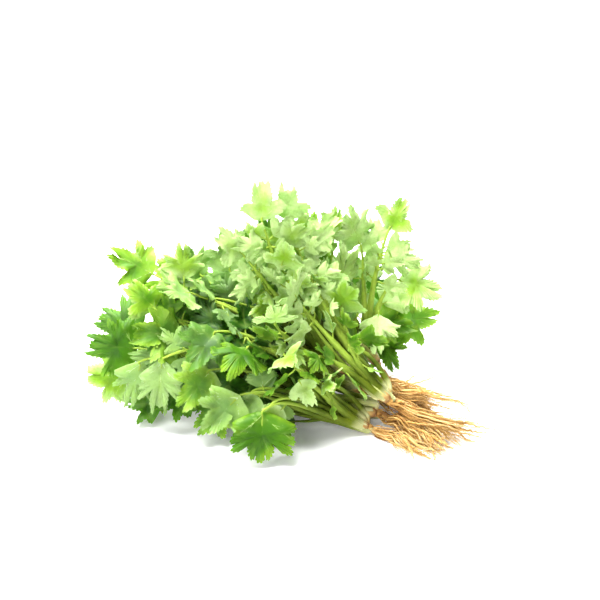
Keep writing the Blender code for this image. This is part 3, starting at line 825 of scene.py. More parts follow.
def main_root(plant: PlantPlan, end: Vector, draw: random.Random) -> Tube:
    """A taproot: straight out of the crown, then swaying on its way to its end.

    Args:
        plant: the plant that it belongs to.
        end: where it ends.
        draw: the plant's own source of chance.

    Returns:
        The taproot.
    """
    heading = -Vector(plant.lean).normalized()
    start = Vector(plant.crown) + heading * COLLAR_GAP
    neck = start + heading * ROOT_NECK
    way = end - neck
    ends = (neck, neck + heading * (way.length * 0.3), end - way * 0.25 + UP * ROOT_SAG, end)
    points = [start, neck]
    radii = [ROOT_RADIUS, ROOT_RADIUS]
    for i in range(1, ROOT_BENDS + 1):
        share = i / ROOT_BENDS
        side = Vector([draw.uniform(-1, 1) for _ in range(3)]) * (ROOT_SWAY * (1 - 0.5 * share))
        points.append(cubic(ends, share) + side)
        radii.append(ROOT_RADIUS + (ROOT_TIP_RADIUS - ROOT_RADIUS) * share)
    return Tube(lifted(points, radii, LOWEST_ROOT), tuple(radii), ROOT_SIDES)


def side_root(joint: Vector, along: Vector, draw: random.Random) -> Tube:
    """A thin root that leaves the taproot at an angle and wanders the same way.

    Args:
        joint: where it leaves the taproot.
        along: where the taproot heads there.
        draw: the plant's own source of chance.

    Returns:
        The side root.
    """
    heading = turned(along, draw, SIDE_ROOT_ANGLE)
    step = draw.uniform(*SIDE_ROOT_LENGTH) / SIDE_ROOT_STEPS
    points = [joint]
    radii = [SIDE_ROOT_RADIUS]
    for i in range(1, SIDE_ROOT_STEPS + 1):
        heading = (turned(heading, draw, SIDE_ROOT_WANDER) + along * 0.25 - UP * 0.12).normalized()
        points.append(points[-1] + heading * step)
        share = i / SIDE_ROOT_STEPS
        radii.append(SIDE_ROOT_RADIUS + (SIDE_ROOT_TIP_RADIUS - SIDE_ROOT_RADIUS) * share)
    return Tube(lifted(points, radii, LOWEST_ROOT), tuple(radii), SIDE_ROOT_SIDES)


def lay_taproot(plant: PlantPlan, draw: random.Random, taken: list[np.ndarray]) -> Tube:
    """A taproot that keeps clear of the other plants' crowns, stalks and taproots.

    Args:
        plant: the plant that it belongs to.
        draw: the plant's own source of chance.
        taken: samples of what is in the way.

    Returns:
        The taproot.
    """
    best: Optional[tuple[Tube, float]] = None
    for attempt in range(ROOT_TRIES):
        spread = ROOT_SPREAD * attempt / ROOT_TRIES
        end = Vector(plant.root_end) + Vector([draw.uniform(-1, 1) * spread for _ in range(3)])
        tap = main_root(plant, end, draw)
        gap = min(nearest_gap(tap.samples(), other) for other in taken)
        if best is None or gap > best[1]:
            best = (tap, gap)
        if gap > CLEARANCE:
            break
    return best[0]


def lay_side_roots(tap: Tube, draw: random.Random, taken: list[np.ndarray]) -> list[Tube]:
    """The side roots along the first part of a taproot, where they have room.

    Args:
        tap: the taproot.
        draw: the plant's own source of chance.
        taken: samples of what is in the way.

    Returns:
        The side roots.
    """
    points = [Vector(p) for p in tap.points]
    roots = []
    for number in range(SIDE_ROOTS):
        place = 1 + number * (len(points) - 4) / SIDE_ROOTS
        i = int(place)
        joint = points[i].lerp(points[i + 1], place - i)
        along = (points[i + 1] - points[i]).normalized()
        for _ in range(ROOT_TRIES):
            side = side_root(joint, along, draw)
            if min(nearest_gap(side.samples(), other) for other in taken) > CLEARANCE:
                roots.append(side)
                break
    return roots


@dataclass
class Growth:
    """One plant as it is laid out: its crown, its stalks with their leaflets, and its roots."""

    plan: PlantPlan
    crown: Tube
    stalks: list[Stalk]
    roots: list[Tube]


def lay_out() -> list[Growth]:
    """Lays out every plant, each in the free room that the earlier ones leave.

    Returns:
        The plants in the order of their plans.
    """
    crowns = [crown_tube(plant) for plant in PLANTS]
    rings = [crown.samples() for crown in crowns]
    grown: list[list[Stalk]] = []
    for number, plant in enumerate(PLANTS):
        others = rings[:number] + rings[number + 1:]
        others += [stalk.tube.samples() for old in grown for stalk in old]
        grown.append([
            lay_stalk(plant, plan, random.Random(100 * number + k), others)
            for k, plan in enumerate(plant.leaves)
        ])
    every = [stalk for stalks in grown for stalk in stalks]
    taken = [stalk.tube.samples() for stalk in every]
    draws = [random.Random(5000 + number) for number in range(len(PLANTS))]
    taps = []
    for number, plant in enumerate(PLANTS):
        others = taken + rings[:number] + rings[number + 1:]
        taps.append(lay_taproot(plant, draws[number], others))
        taken.append(taps[-1].samples())
    roots = []
    for number, tap in enumerate(taps):
        own = len(every) + number
        others = taken[:own] + taken[own + 1:] + rings[:number] + rings[number + 1:]
        side = lay_side_roots(tap, draws[number], others)
        taken += [root.samples() for root in side]
        roots.append([tap, *side])
    placed = Obstacles()
    for number, stalk in enumerate(every):
        placed.add(*stalk.tube.mesh(), number)
    for crown in crowns:
        placed.add(*crown.mesh(), "crown")
    for root in (root for group in roots for root in group):
        placed.add(*root.mesh(), "root")
    dress_stalks(every, placed, [random.Random(9000 + number) for number in range(len(every))])
    for number, stalk in enumerate(every):
        add_young_leaflets(stalk, number, placed, random.Random(12000 + number))
    return [Growth(*parts) for parts in zip(PLANTS, crowns, grown, roots)]


class Wire:
    """A number on its way through a node tree, which takes Python's arithmetic."""

    def __init__(self, graph: "Graph", socket: Socket) -> None:
        """Wraps an output socket of the graph."""
        self.graph = graph
        self.socket = socket

    def maths(self, operation: str, *values: Any) -> "Wire":
        """The result of a Math node with these inputs in order, wires or numbers."""
        node = self.graph.node("ShaderNodeMath", {"operation": operation}, dict(enumerate(values)))
        return Wire(self.graph, node.outputs[0])

    def __add__(self, other: Any) -> "Wire":
        """The sum."""
        return self.maths("ADD", self, other)

    def __radd__(self, other: Any) -> "Wire":
        """The sum, with the number first."""
        return self.maths("ADD", other, self)

    def __sub__(self, other: Any) -> "Wire":
        """The difference."""
        return self.maths("SUBTRACT", self, other)

    def __rsub__(self, other: Any) -> "Wire":
        """The difference, with the number first."""
        return self.maths("SUBTRACT", other, self)

    def __mul__(self, other: Any) -> "Wire":
        """The product."""
        return self.maths("MULTIPLY", self, other)

    def __truediv__(self, other: Any) -> "Wire":
        """The quotient."""
        return self.maths("DIVIDE", self, other)

    def __pow__(self, other: Any) -> "Wire":
        """The power."""
        return self.maths("POWER", self, other)

    def held(self) -> "Wire":
        """The number held between 0 and 1."""
        return self.maths("MINIMUM", self.maths("MAXIMUM", self, 0.0), 1.0)


Link = Union[Wire, Socket]


class Graph:
    """A node tree that is built by calls, for a material or for a mesh."""

    def __init__(self, tree: bpy.types.NodeTree) -> None:
        """Takes over an empty tree."""
        self.tree = tree

    def node(self, kind: str, settings: Settings = None, inputs: Inputs = None) -> bpy.types.Node:
        """Adds a node.

        Args:
            kind: the node's type.
            settings: its own settings, which are set first. A ramp's stops are under "stops".
            inputs: wires, sockets or values for its sockets, by index or by name.

        Returns:
            The node.
        """
        node = self.tree.nodes.new(kind)
        for name, value in (settings or {}).items():
            if name == "stops":
                self.set_stops(node.color_ramp, value)
            else:
                setattr(node, name, value)
        for place, value in (inputs or {}).items():
            socket = node.inputs[place]
            if isinstance(value, Wire):
                value = value.socket
            if isinstance(value, Socket):
                self.tree.links.new(value, socket)
            else:
                socket.default_value = value
        return node

    def set_stops(self, ramp: bpy.types.ColorRamp, stops: Stops) -> None:
        """Gives a ramp its stops.

        Args:
            ramp: the ramp, which has two stops when new.
            stops: the place and the colour of each.
        """
        while len(ramp.elements) < len(stops):
            ramp.elements.new(0.5)
        for element, (place, colour) in zip(ramp.elements, stops):
            element.position = place
            element.color = colour

    def out(self, kind: str, settings: Settings = None, inputs: Inputs = None) -> Socket:
        """The first output of a new node."""
        return self.node(kind, settings, inputs).outputs[0]

    def value(self, kind: str, settings: Settings = None, inputs: Inputs = None, output: Any = 0) -> Wire:
        """A new node's output, by its index or name, as a wire."""
        return Wire(self, self.node(kind, settings, inputs).outputs[output])

    def vector(self, operation: str, *values: Any) -> Socket:
        """The result of a Vector Math node with these inputs in order."""
        return self.out("ShaderNodeVectorMath", {"operation": operation}, dict(enumerate(values)))

    def scaled(self, vector: Any, scale: Any) -> Socket:
        """A vector multiplied by a number."""
        return self.out("ShaderNodeVectorMath", {"operation": "SCALE"}, {0: vector, "Scale": scale})


class Shading(Graph):
    """A material's node tree."""

    def __init__(self, name: str) -> None:
        """Starts a material of this name with nothing in its tree."""
        self.material = bpy.data.materials.new(name)
        self.material.use_nodes = True
        super().__init__(self.material.node_tree)
        self.tree.nodes.clear()
        self.place = self.node("ShaderNodeTexCoord").outputs["Object"]

    def mark(self, name: str) -> Wire:
        """A number that the mesh carries at each point, by its name."""
        return self.value("ShaderNodeAttribute", {"attribute_name": name}, output="Fac")

    def direction(self, name: str) -> Socket:
        """A vector that the mesh carries at each point, by its name."""
        return self.node("ShaderNodeAttribute", {"attribute_name": name}).outputs["Vector"]

    def noise(self, scale: float, detail: float = 2.0, at: Optional[Link] = None) -> Wire:
        """Soft noise of this many patches a metre, read at the object's coordinates or others."""
        inputs = {"Vector": at or self.place, "Scale": scale, "Detail": detail}
        return self.value("ShaderNodeTexNoise", None, inputs, "Fac")

    def stretched(self, scale: Triple, at: Optional[Link] = None) -> Socket:
        """The coordinates multiplied by a scale for each axis."""
        return self.vector("MULTIPLY", at or self.place, scale)

    def mix(self, share: Any, first: Any, second: Any) -> Socket:
        """A mix of two colours, with this share of the second."""
        return self.node("ShaderNodeMix", {"data_type": "RGBA"}, {0: share, 6: first, 7: second}).outputs[2]

    def ramp(self, share: Wire, stops: Stops) -> Socket:
        """The colour at this share of a ramp with these stops."""
        return self.out("ShaderNodeValToRGB", {"stops": stops}, {0: share})

    def bump(self, height: Wire, distance: float, strength: float) -> Socket:
        """A normal bent by a height, of which 1 measures this distance in metres."""
        inputs = {"Height": height, "Distance": distance, "Strength": strength}
        return self.out("ShaderNodeBump", None, inputs)

    def finish(self, surface: dict[str, Any], through: Optional[tuple[float, Colour]] = None) -> Material:
        """Ends the tree in a Principled shader.

        Args:
            surface: what its sockets take.
            through: the share and colour of the light that shines through a thin blade.

        Returns:
            The material.
        """
        shader = self.out("ShaderNodeBsdfPrincipled", None, surface)
        if through is not None:
            glow = self.out("ShaderNodeBsdfTranslucent", None, {"Color": through[1]})
            shader = self.out("ShaderNodeMixShader", None, {0: through[0], 1: shader, 2: glow})
        self.node("ShaderNodeOutputMaterial", None, {"Surface": shader})
        return self.material


@dataclass(frozen=True)
class LeafFinish:
    """Leaf blades: mottled green, lighter veins, a paler and greyer underside."""

    name: str = "coriander_leaf"
    deep: Colour = (0.010, 0.052, 0.001, 1.0)
    middle: Colour = (0.066, 0.180, 0.006, 1.0)
    fresh: Colour = (0.255, 0.430, 0.024, 1.0)
    # The bright stop is partly painted light: the pale, nearly white green of the top leaves where the
    # light falls most.
    bright: Colour = (0.570, 0.750, 0.290, 1.0)
    bloom: Colour = (0.270, 0.420, 0.150, 1.0)
    vein: Colour = (0.400, 0.560, 0.110, 1.0)
    under: Colour = (0.250, 0.410, 0.090, 1.0)
    through: Colour = (0.400, 0.740, 0.080, 1.0)
    through_share: float = 0.29
    vein_width: float = 1.6

    def make(self) -> Material:
        """Builds the material.

        Returns:
            The material.
        """
        shade = Shading(self.name)
        out = shade.mark("out")
        # The tone mark is each blade's lightness, with painted light and painted shade in it.
        tone = shade.mark("tone") + (shade.noise(60.0, 3.0) - 0.5) * 0.75 + out ** 2.0 * 0.34 - 0.09
        stops = ((0.0, self.deep), (0.38, self.middle), (0.66, self.fresh), (1.0, self.bright))
        colour = shade.ramp(tone.held(), stops)
        colour = shade.mix(shade.mark("bloom") * 0.75, colour, self.bloom)
        veins = (1.0 - shade.mark("vein_mm") / self.vein_width).held() * (0.42 - out * 0.2)
        cells = shade.noise(900.0, 2.0)
        colour = shade.mix(veins, colour, self.vein)
        colour = shade.mix((shade.noise(420.0, 3.0) - 0.48).held(), colour, self.middle)
        colour = shade.mix((cells - 0.35) * 0.35, colour, self.deep)
        under = shade.mark("under")
        colour = shade.mix(under * 0.62, colour, self.under)
        height = veins * (under * 1.2 - 0.6) + cells * 0.25 + shade.noise(330.0, 2.0) * 1.4
        surface = {
            "Base Color": colour,
            "Roughness": 0.40 + under * 0.16 + cells * 0.12,
            "Normal": shade.bump(height, 0.0002, 0.55),
            "Specular IOR Level": 0.20,
        }
        return shade.finish(surface, (self.through_share, self.through))


@dataclass(frozen=True)
class VeinFinish:
    """Leaf veins: a lighter green than the blade that they run through."""

    name: str = "coriander_vein"
    dark: Colour = (0.200, 0.400, 0.050, 1.0)
    light: Colour = (0.600, 0.740, 0.240, 1.0)
    bloom: Colour = (0.500, 0.640, 0.360, 1.0)

    def make(self) -> Material:
        """Builds the material.

        Returns:
            The material.
        """
        shade = Shading(self.name)
        tone = shade.mark("tone") + (shade.noise(120.0) - 0.5) * 0.3
        colour = shade.mix(tone.held(), self.dark, self.light)
        colour = shade.mix((shade.mark("along") * 0.7).held(), colour, self.bloom)
        return shade.finish({"Base Color": colour, "Roughness": 0.5, "Specular IOR Level": 0.3})


@dataclass(frozen=True)
class StalkFinish:
    """Leaf stalks: nearly white at the crown, dark olive halfway along, partly their own colour and partly
    painted shade, fresh green above, with fine lengthwise streaks.
    """

    name: str = "coriander_stalk"
    foot: Colour = (0.600, 0.600, 0.300, 1.0)
    collar: Colour = (0.380, 0.200, 0.050, 1.0)
    # The low and middle stops are dark olive: partly the stalks' own colour and partly painted shade where
    # they run under the leaves.
    low: Colour = (0.105, 0.140, 0.007, 1.0)
    middle: Colour = (0.038, 0.066, 0.002, 1.0)
    high: Colour = (0.330, 0.480, 0.060, 1.0)
    streak: Colour = (0.150, 0.195, 0.016, 1.0)

    def make(self) -> Material:
        """Builds the material.

        Returns:
            The material.
        """
        shade = Shading(self.name)
        along = shade.mark("along") + (shade.noise(60.0) - 0.5) * 0.08
        # Darkest halfway along, with painted shade where the stalks run under the leaves.
        stops = (
            (0.0, self.collar), (0.030, self.foot), (0.17, self.low), (0.44, self.middle),
            (0.80, self.high), (1.0, self.high),
        )
        colour = shade.ramp(along.held(), stops)
        # A stalk of a lighter leaf is lighter towards the leaf: painted light that follows the leaf's tone.
        upper = ((shade.mark("along") - 0.22) * 4.0).held()
        colour = shade.mix(shade.mark("tone") * upper, colour, self.high)
        around = shade.stretched((9.0, 9.0, 1.0), shade.direction("around"))
        streaks = shade.noise(1.0, 3.0, around)
        colour = shade.mix((streaks - 0.42).held() * 1.6, colour, self.streak)
        colour = shade.mix((shade.noise(240.0, 3.0) - 0.45).held() * 0.8, colour, self.middle)
        surface = {
            "Base Color": colour,
            "Roughness": 0.48 + streaks * 0.20,
            "Normal": shade.bump(streaks, 0.0003, 0.5),
            "Specular IOR Level": 0.10,
            "Subsurface Weight": 0.08,
            "Subsurface Radius": (0.4, 0.6, 0.1),
            "Subsurface Scale": 0.002,
        }
        return shade.finish(surface)


@dataclass(frozen=True)
class CrownFinish:
    """The crown: cream under the stalks, brown and papery at the collar."""

    name: str = "coriander_crown"
    collar: Colour = (0.200, 0.085, 0.020, 1.0)
    rind: Colour = (0.480, 0.290, 0.090, 1.0)
    flesh: Colour = (0.430, 0.470, 0.130, 1.0)

    def make(self) -> Material:
        """Builds the material.

        Returns:
            The material.
        """
        shade = Shading(self.name)
        along = shade.mark("along") + (shade.noise(300.0, 3.0) - 0.5) * 0.45
        stops = ((0.0, self.collar), (0.22, self.rind), (0.55, self.flesh), (1.0, self.flesh))
        rough = shade.noise(1300.0, 3.0)
        surface = {
            "Base Color": shade.ramp(along.held(), stops),
            "Roughness": 0.55 + rough * 0.25,
            "Normal": shade.bump(rough, 0.0004, 0.7),
        }
        return shade.finish(surface)


@dataclass(frozen=True)
class RootFinish:
    """Roots: golden tan with brown creases and paler ends."""

    name: str = "coriander_root"
    crease: Colour = (0.220, 0.080, 0.014, 1.0)
    skin: Colour = (0.470, 0.260, 0.062, 1.0)
    pale: Colour = (0.680, 0.490, 0.215, 1.0)
    crease_share: float = 0.8

    def make(self) -> Material:
        """Builds the material.

        Returns:
            The material.
        """
        shade = Shading(self.name)
        patch = shade.noise(140.0, 3.0)
        light = shade.mark("along") * 0.42 + shade.mark("tone") * 0.50 + patch * 0.55 - 0.27
        colour = shade.ramp(light.held(), ((0.0, self.crease), (0.38, self.skin), (1.0, self.pale)))
        rings = shade.noise(1500.0, 2.0)
        colour = shade.mix((rings - 0.55).held() * self.crease_share * 2.0, colour, self.crease)
        surface = {
            "Base Color": colour,
            "Roughness": 0.55 + rings * 0.2,
            "Normal": shade.bump(rings, 0.0003, 0.6),
            "Specular IOR Level": 0.35,
        }
        return shade.finish(surface)


@dataclass(frozen=True)
class FloorFinish:
    """The plain pale surface that the bunch lies on. It glows as painted light: faintly under the bunch,
    which lifts the shadow there, and fully further away, which whitens the far floor.
    """

    name: str = "plain_floor"
    colour: Colour = (0.90, 0.90, 0.90, 1.0)
    under_glow: Colour = (0.12, 0.12, 0.12, 1.0)
    far_glow: Colour = (1.0, 1.0, 1.0, 1.0)
    glow_start: float = 0.50
    glow_full: float = 1.30

    def make(self) -> Material:
        """Builds the material.

        Returns:
            The material.
        """
        shade = Shading(self.name)
        faint = (shade.noise(3.0) - 0.5) * 0.02
        # The floor's glow is painted light, faint near the bunch and full far from it.
        away = shade.value("ShaderNodeVectorMath", {"operation": "LENGTH"}, {0: shade.place}, "Value")
        glow = ((away - self.glow_start) / (self.glow_full - self.glow_start)).held()
        surface = {
            "Base Color": shade.mix(faint.held(), self.colour, (0.86, 0.86, 0.86, 1.0)),
            "Emission Color": shade.mix(glow, self.under_glow, self.far_glow),
            "Emission Strength": 1.0,
            "Roughness": 0.9,
            "Specular IOR Level": 0.1,
        }
        return shade.finish(surface)


class Recipe(Graph):
    """A geometry node tree with named inputs, which turns lines into a mesh."""

    def __init__(self, name: str, inputs: dict[str, tuple[str, Any]]) -> None:
        """Starts the tree.

        Args:
            name: the tree's name.
            inputs: the socket type and the usual value of each named input.
        """
        super().__init__(bpy.data.node_groups.new(name, "GeometryNodeTree"))
        self.name = name
        face = self.tree.interface
        face.new_socket("Lines", in_out="INPUT", socket_type="NodeSocketGeometry")
        self.places: dict[str, str] = {}
        for label, (kind, value) in inputs.items():
            socket = face.new_socket(label, in_out="INPUT", socket_type="NodeSocket" + kind)
            if value is not None:
                socket.default_value = value
            self.places[label] = socket.identifier
        face.new_socket("Mesh", in_out="OUTPUT", socket_type="NodeSocketGeometry")
        self.start = self.tree.nodes.new("NodeGroupInput")

    def given(self, label: str) -> Wire:
        """A named input's value."""
        return Wire(self, self.start.outputs[label])

    def read(self, name: str) -> Wire:
        """A number that each point of a line carries, by its name."""
        return self.value("GeometryNodeInputNamedAttribute", None, {"Name": name})

    def stored(
        self, shape: Link, name: str, value: Any, kind: str = "FLOAT", domain: str = "POINT"
    ) -> Socket:
        """The shape, with the value kept in it under a name."""
        settings = {"data_type": kind, "domain": domain}
        return self.out("GeometryNodeStoreNamedAttribute", settings, {0: shape, "Name": name, 3: value})

    def end(self, mesh: Link) -> None:
        """Ends the tree in smooth, realised instances with the given material."""
        smooth = self.out("GeometryNodeSetShadeSmooth", None, {0: mesh})
        real = self.out("GeometryNodeRealizeInstances", None, {0: smooth})
        dressed = self.out("GeometryNodeSetMaterial", None, {0: real, "Material": self.given("Material")})
        self.node("NodeGroupOutput", None, {0: dressed})

    def profile(self, sides: Link, ribs: Any, depth: Any) -> Socket:
        """A ribbed ring that keeps its own direction as the attribute "around".

        Args:
            sides: how many points it has.
            ribs: how many ribs run round it.
            depth: how deep they are, as a share of its radius.

        Returns:
            The ring.
        """
        ring = self.out("GeometryNodeCurvePrimitiveCircle", None, {"Resolution": sides, "Radius": 1.0})
        where = self.out("GeometryNodeInputPosition")
        kept = self.stored(ring, "around", where, "FLOAT_VECTOR")
        parts = self.node("ShaderNodeSeparateXYZ", None, {0: where})
        across = Wire(self, parts.outputs[0])
        angle = across.maths("ARCTAN2", Wire(self, parts.outputs[1]), across)
        moved = self.scaled(where, 1.0 + angle.maths("COSINE", angle * ribs) * depth)
        return self.out("GeometryNodeSetPosition", None, {0: kept, "Position": moved})

    def swept(self, lines: Link, ring: Link, scale: Link) -> Socket:
        """The ring drawn along the lines, with closed ends."""
        inputs = {"Curve": lines, "Profile Curve": ring, "Scale": scale, "Fill Caps": True}
        return self.out("GeometryNodeCurveToMesh", None, inputs)


def ribbed_recipe() -> Recipe:
    """Makes the tree that turns lines into ribbed tubes of the lines' own thickness.

    Returns:
        The tree.
    """
    recipe = Recipe("ribbed_tubes", {
        "Sides": ("Int", 14),
        "Ribs": ("Int", 6),
        "Rib Depth": ("Float", 0.06),
        "Material": ("Material", None),
    })
    lines = recipe.out("GeometryNodeMeshToCurve", None, {0: recipe.given("Lines")})
    ring = recipe.profile(recipe.given("Sides"), recipe.given("Ribs"), recipe.given("Rib Depth"))
    recipe.end(recipe.swept(lines, ring, recipe.read("thick")))
    return recipe


def hair_recipe() -> Recipe:
    """Makes the tree that grows stringy strands beside lines.

    Each line is repeated, every copy is spread sideways and waved more towards its end, cut to
    its own stretch, kept inside two corners and drawn as a tapered tube.

    Returns:
        The tree.
    """
    recipe = Recipe("stringy_roots", {
        "Count": ("Int", 4),
        "Points": ("Int", 30),
        "Spread": ("Float", 0.006),
        "Waviness": ("Float", 0.004),
        "Wave Scale": ("Float", 45.0),
        "Thickness": ("Float", 0.0004),
        "Shortest": ("Float", 0.4),
        "Seed": ("Int", 1),
        "Low Corner": ("Vector", None),
        "High Corner": ("Vector", None),
        "Material": ("Material", None),
    })
    given = recipe.given
    lines = recipe.out("GeometryNodeMeshToCurve", None, {0: given("Lines")})
    lines = recipe.out("GeometryNodeResampleCurve", None, {0: lines, "Count": given("Points")})
    amount = {0: lines, "Amount": given("Count")}
    copies = recipe.out("GeometryNodeDuplicateElements", {"domain": "SPLINE"}, amount)
    copies = recipe.stored(copies, "strand", recipe.out("GeometryNodeInputIndex"), "INT", "CURVE")
    strand = recipe.out("GeometryNodeInputNamedAttribute", {"data_type": "INT"}, {"Name": "strand"})

    def chance(low: Any, high: Any, offset: int) -> Wire:
        """A random number for each strand, between low and high."""
        inputs = {2: low, 3: high, "ID": strand, "Seed": given("Seed") + offset}
        return recipe.value("FunctionNodeRandomValue", None, inputs, 1)

    factor = recipe.value("GeometryNodeSplineParameter", output="Factor")
    sideways = recipe.out(
        "FunctionNodeRandomValue", {"data_type": "FLOAT_VECTOR"},
        {0: (-1.0, -1.0, -1.0), 1: (1.0, 1.0, 0.5), "ID": strand, "Seed": given("Seed")},
    )
    fan_out = recipe.scaled(sideways, given("Spread") * (factor ** 0.8 * 0.78 + 0.22))
    where = recipe.out("GeometryNodeInputPosition")
    shifted = recipe.vector("MULTIPLY_ADD", sideways, (7.0, 7.0, 7.0), where)
    grain = {"Vector": shifted, "Scale": given("Wave Scale"), "Detail": 2.0}
    waves = recipe.node("ShaderNodeTexNoise", None, grain).outputs["Color"]
    waves = recipe.vector("SUBTRACT", waves, (0.5, 0.5, 0.5))
    waves = recipe.scaled(waves, given("Waviness") * 2.0 * factor ** 0.5)
    offset = recipe.vector("ADD", fan_out, waves)
    spread = recipe.out("GeometryNodeSetPosition", None, {0: copies, "Offset": offset})
    start = chance(0.0, 0.20, 3)
    end = start + chance(given("Shortest"), 1.0, 5) * (1.0 - start)
    trimmed = recipe.out("GeometryNodeTrimCurve", None, {0: spread, 2: start, 3: end})
    low = recipe.vector("MAXIMUM", where, given("Low Corner"))
    held = recipe.vector("MINIMUM", low, given("High Corner"))
    kept = recipe.out("GeometryNodeSetPosition", None, {0: trimmed, "Position": held})
    kept = recipe.stored(kept, "tone", chance(0.0, 1.0, 7))
    kept = recipe.stored(kept, "along", factor)
    scale = given("Thickness") * chance(0.35, 1.25, 9) * (1.0 - factor ** 2.0 * 0.75)
    recipe.end(recipe.swept(kept, recipe.profile(4, 0, 0.0), scale))
    return recipe


@dataclass
class Strand:
    """A line to be drawn as a tube: its points, its radius at each, and what the finish reads."""

    points: np.ndarray
    thick: np.ndarray
    along: np.ndarray
    tone: float = 0.5


def smooth_line(points: np.ndarray, steps: int) -> np.ndarray:
    """A smooth curve through the points.

    Args:
        points: one row for each point, with any number of columns.
        steps: how many steps there are from one point to the next.

    Returns:
        The curve's rows.
    """
    ends = np.vstack([2 * points[0] - points[1], points, 2 * points[-1] - points[-2]])
    rows = []
    for i in range(1, len(ends) - 2):
        a, b, c, d = ends[i - 1:i + 3]
        for k in range(steps):
            t = k / steps
            rows.append(0.5 * (
                2 * b + (c - a) * t + (2 * a - 5 * b + 4 * c - d) * t**2 + (3 * b - a - 3 * c + d) * t**3
            ))
    rows.append(points[-1])
    return np.array(rows)


def linked(name: str, data: Any) -> Piece:
    """A new object in the scene that shows this data."""
    made = bpy.data.objects.new(name, data)
    bpy.context.scene.collection.objects.link(made)
    return made


def set_marks(mesh: bpy.types.Mesh, marks: dict[str, list[np.ndarray]]) -> None:
    """Gives a mesh's points the numbers that its finish reads, by their names."""
    for label, values in marks.items():
        layer = mesh.attributes.new(label, "FLOAT", "POINT")
        layer.data.foreach_set("value", np.concatenate(values).astype(np.float32))


def drawn(name: str, strands: list[Strand], recipe: Recipe, values: dict[str, Any]) -> Piece:
    """Draws strands as one mesh through a geometry node tree.

    Args:
        name: the piece's name.
        strands: the lines.
        recipe: the tree.
        values: its named inputs.

    Returns:
        The piece, with a plain mesh and no modifier.
    """
    mesh = bpy.data.meshes.new(name + "_lines")
    counts = [len(strand.points) for strand in strands]
    starts = np.cumsum([0] + counts[:-1])
    edges = [(s + i, s + i + 1) for s, n in zip(starts, counts) for i in range(n - 1)]
    mesh.from_pydata(np.vstack([strand.points for strand in strands]).tolist(), edges, [])
    set_marks(mesh, {
        "thick": [strand.thick for strand in strands],
        "along": [strand.along for strand in strands],
        "tone": [np.full(len(strand.points), strand.tone) for strand in strands],
    })
    piece = linked(name, mesh)
    modifier = piece.modifiers.new(recipe.name, "NODES")
    modifier.node_group = recipe.tree
    for label, value in values.items():
        modifier[recipe.places[label]] = value
    graph = bpy.context.evaluated_depsgraph_get()
    made = bpy.data.meshes.new_from_object(piece.evaluated_get(graph))
    piece.modifiers.remove(modifier)
    piece.data = made
    bpy.data.meshes.remove(mesh)
    made.name = name
    hold_inside(made)
    return piece


def hold_inside(mesh: bpy.types.Mesh, margin: float = 0.00002) -> None:
    """Keeps a mesh's points inside the solid model's box.

    Args:
        mesh: the mesh.
        margin: how far inside they stay, in metres.
    """
    co = np.empty(len(mesh.vertices) * 3, np.float32)
    mesh.vertices.foreach_get("co", co)
    lo, hi = (np.array(corner) for corner in CAD_BOX)
    co = np.clip(co.reshape(-1, 3), lo + margin, hi - margin)
    mesh.vertices.foreach_set("co", co.astype(np.float32).ravel())
    mesh.update()


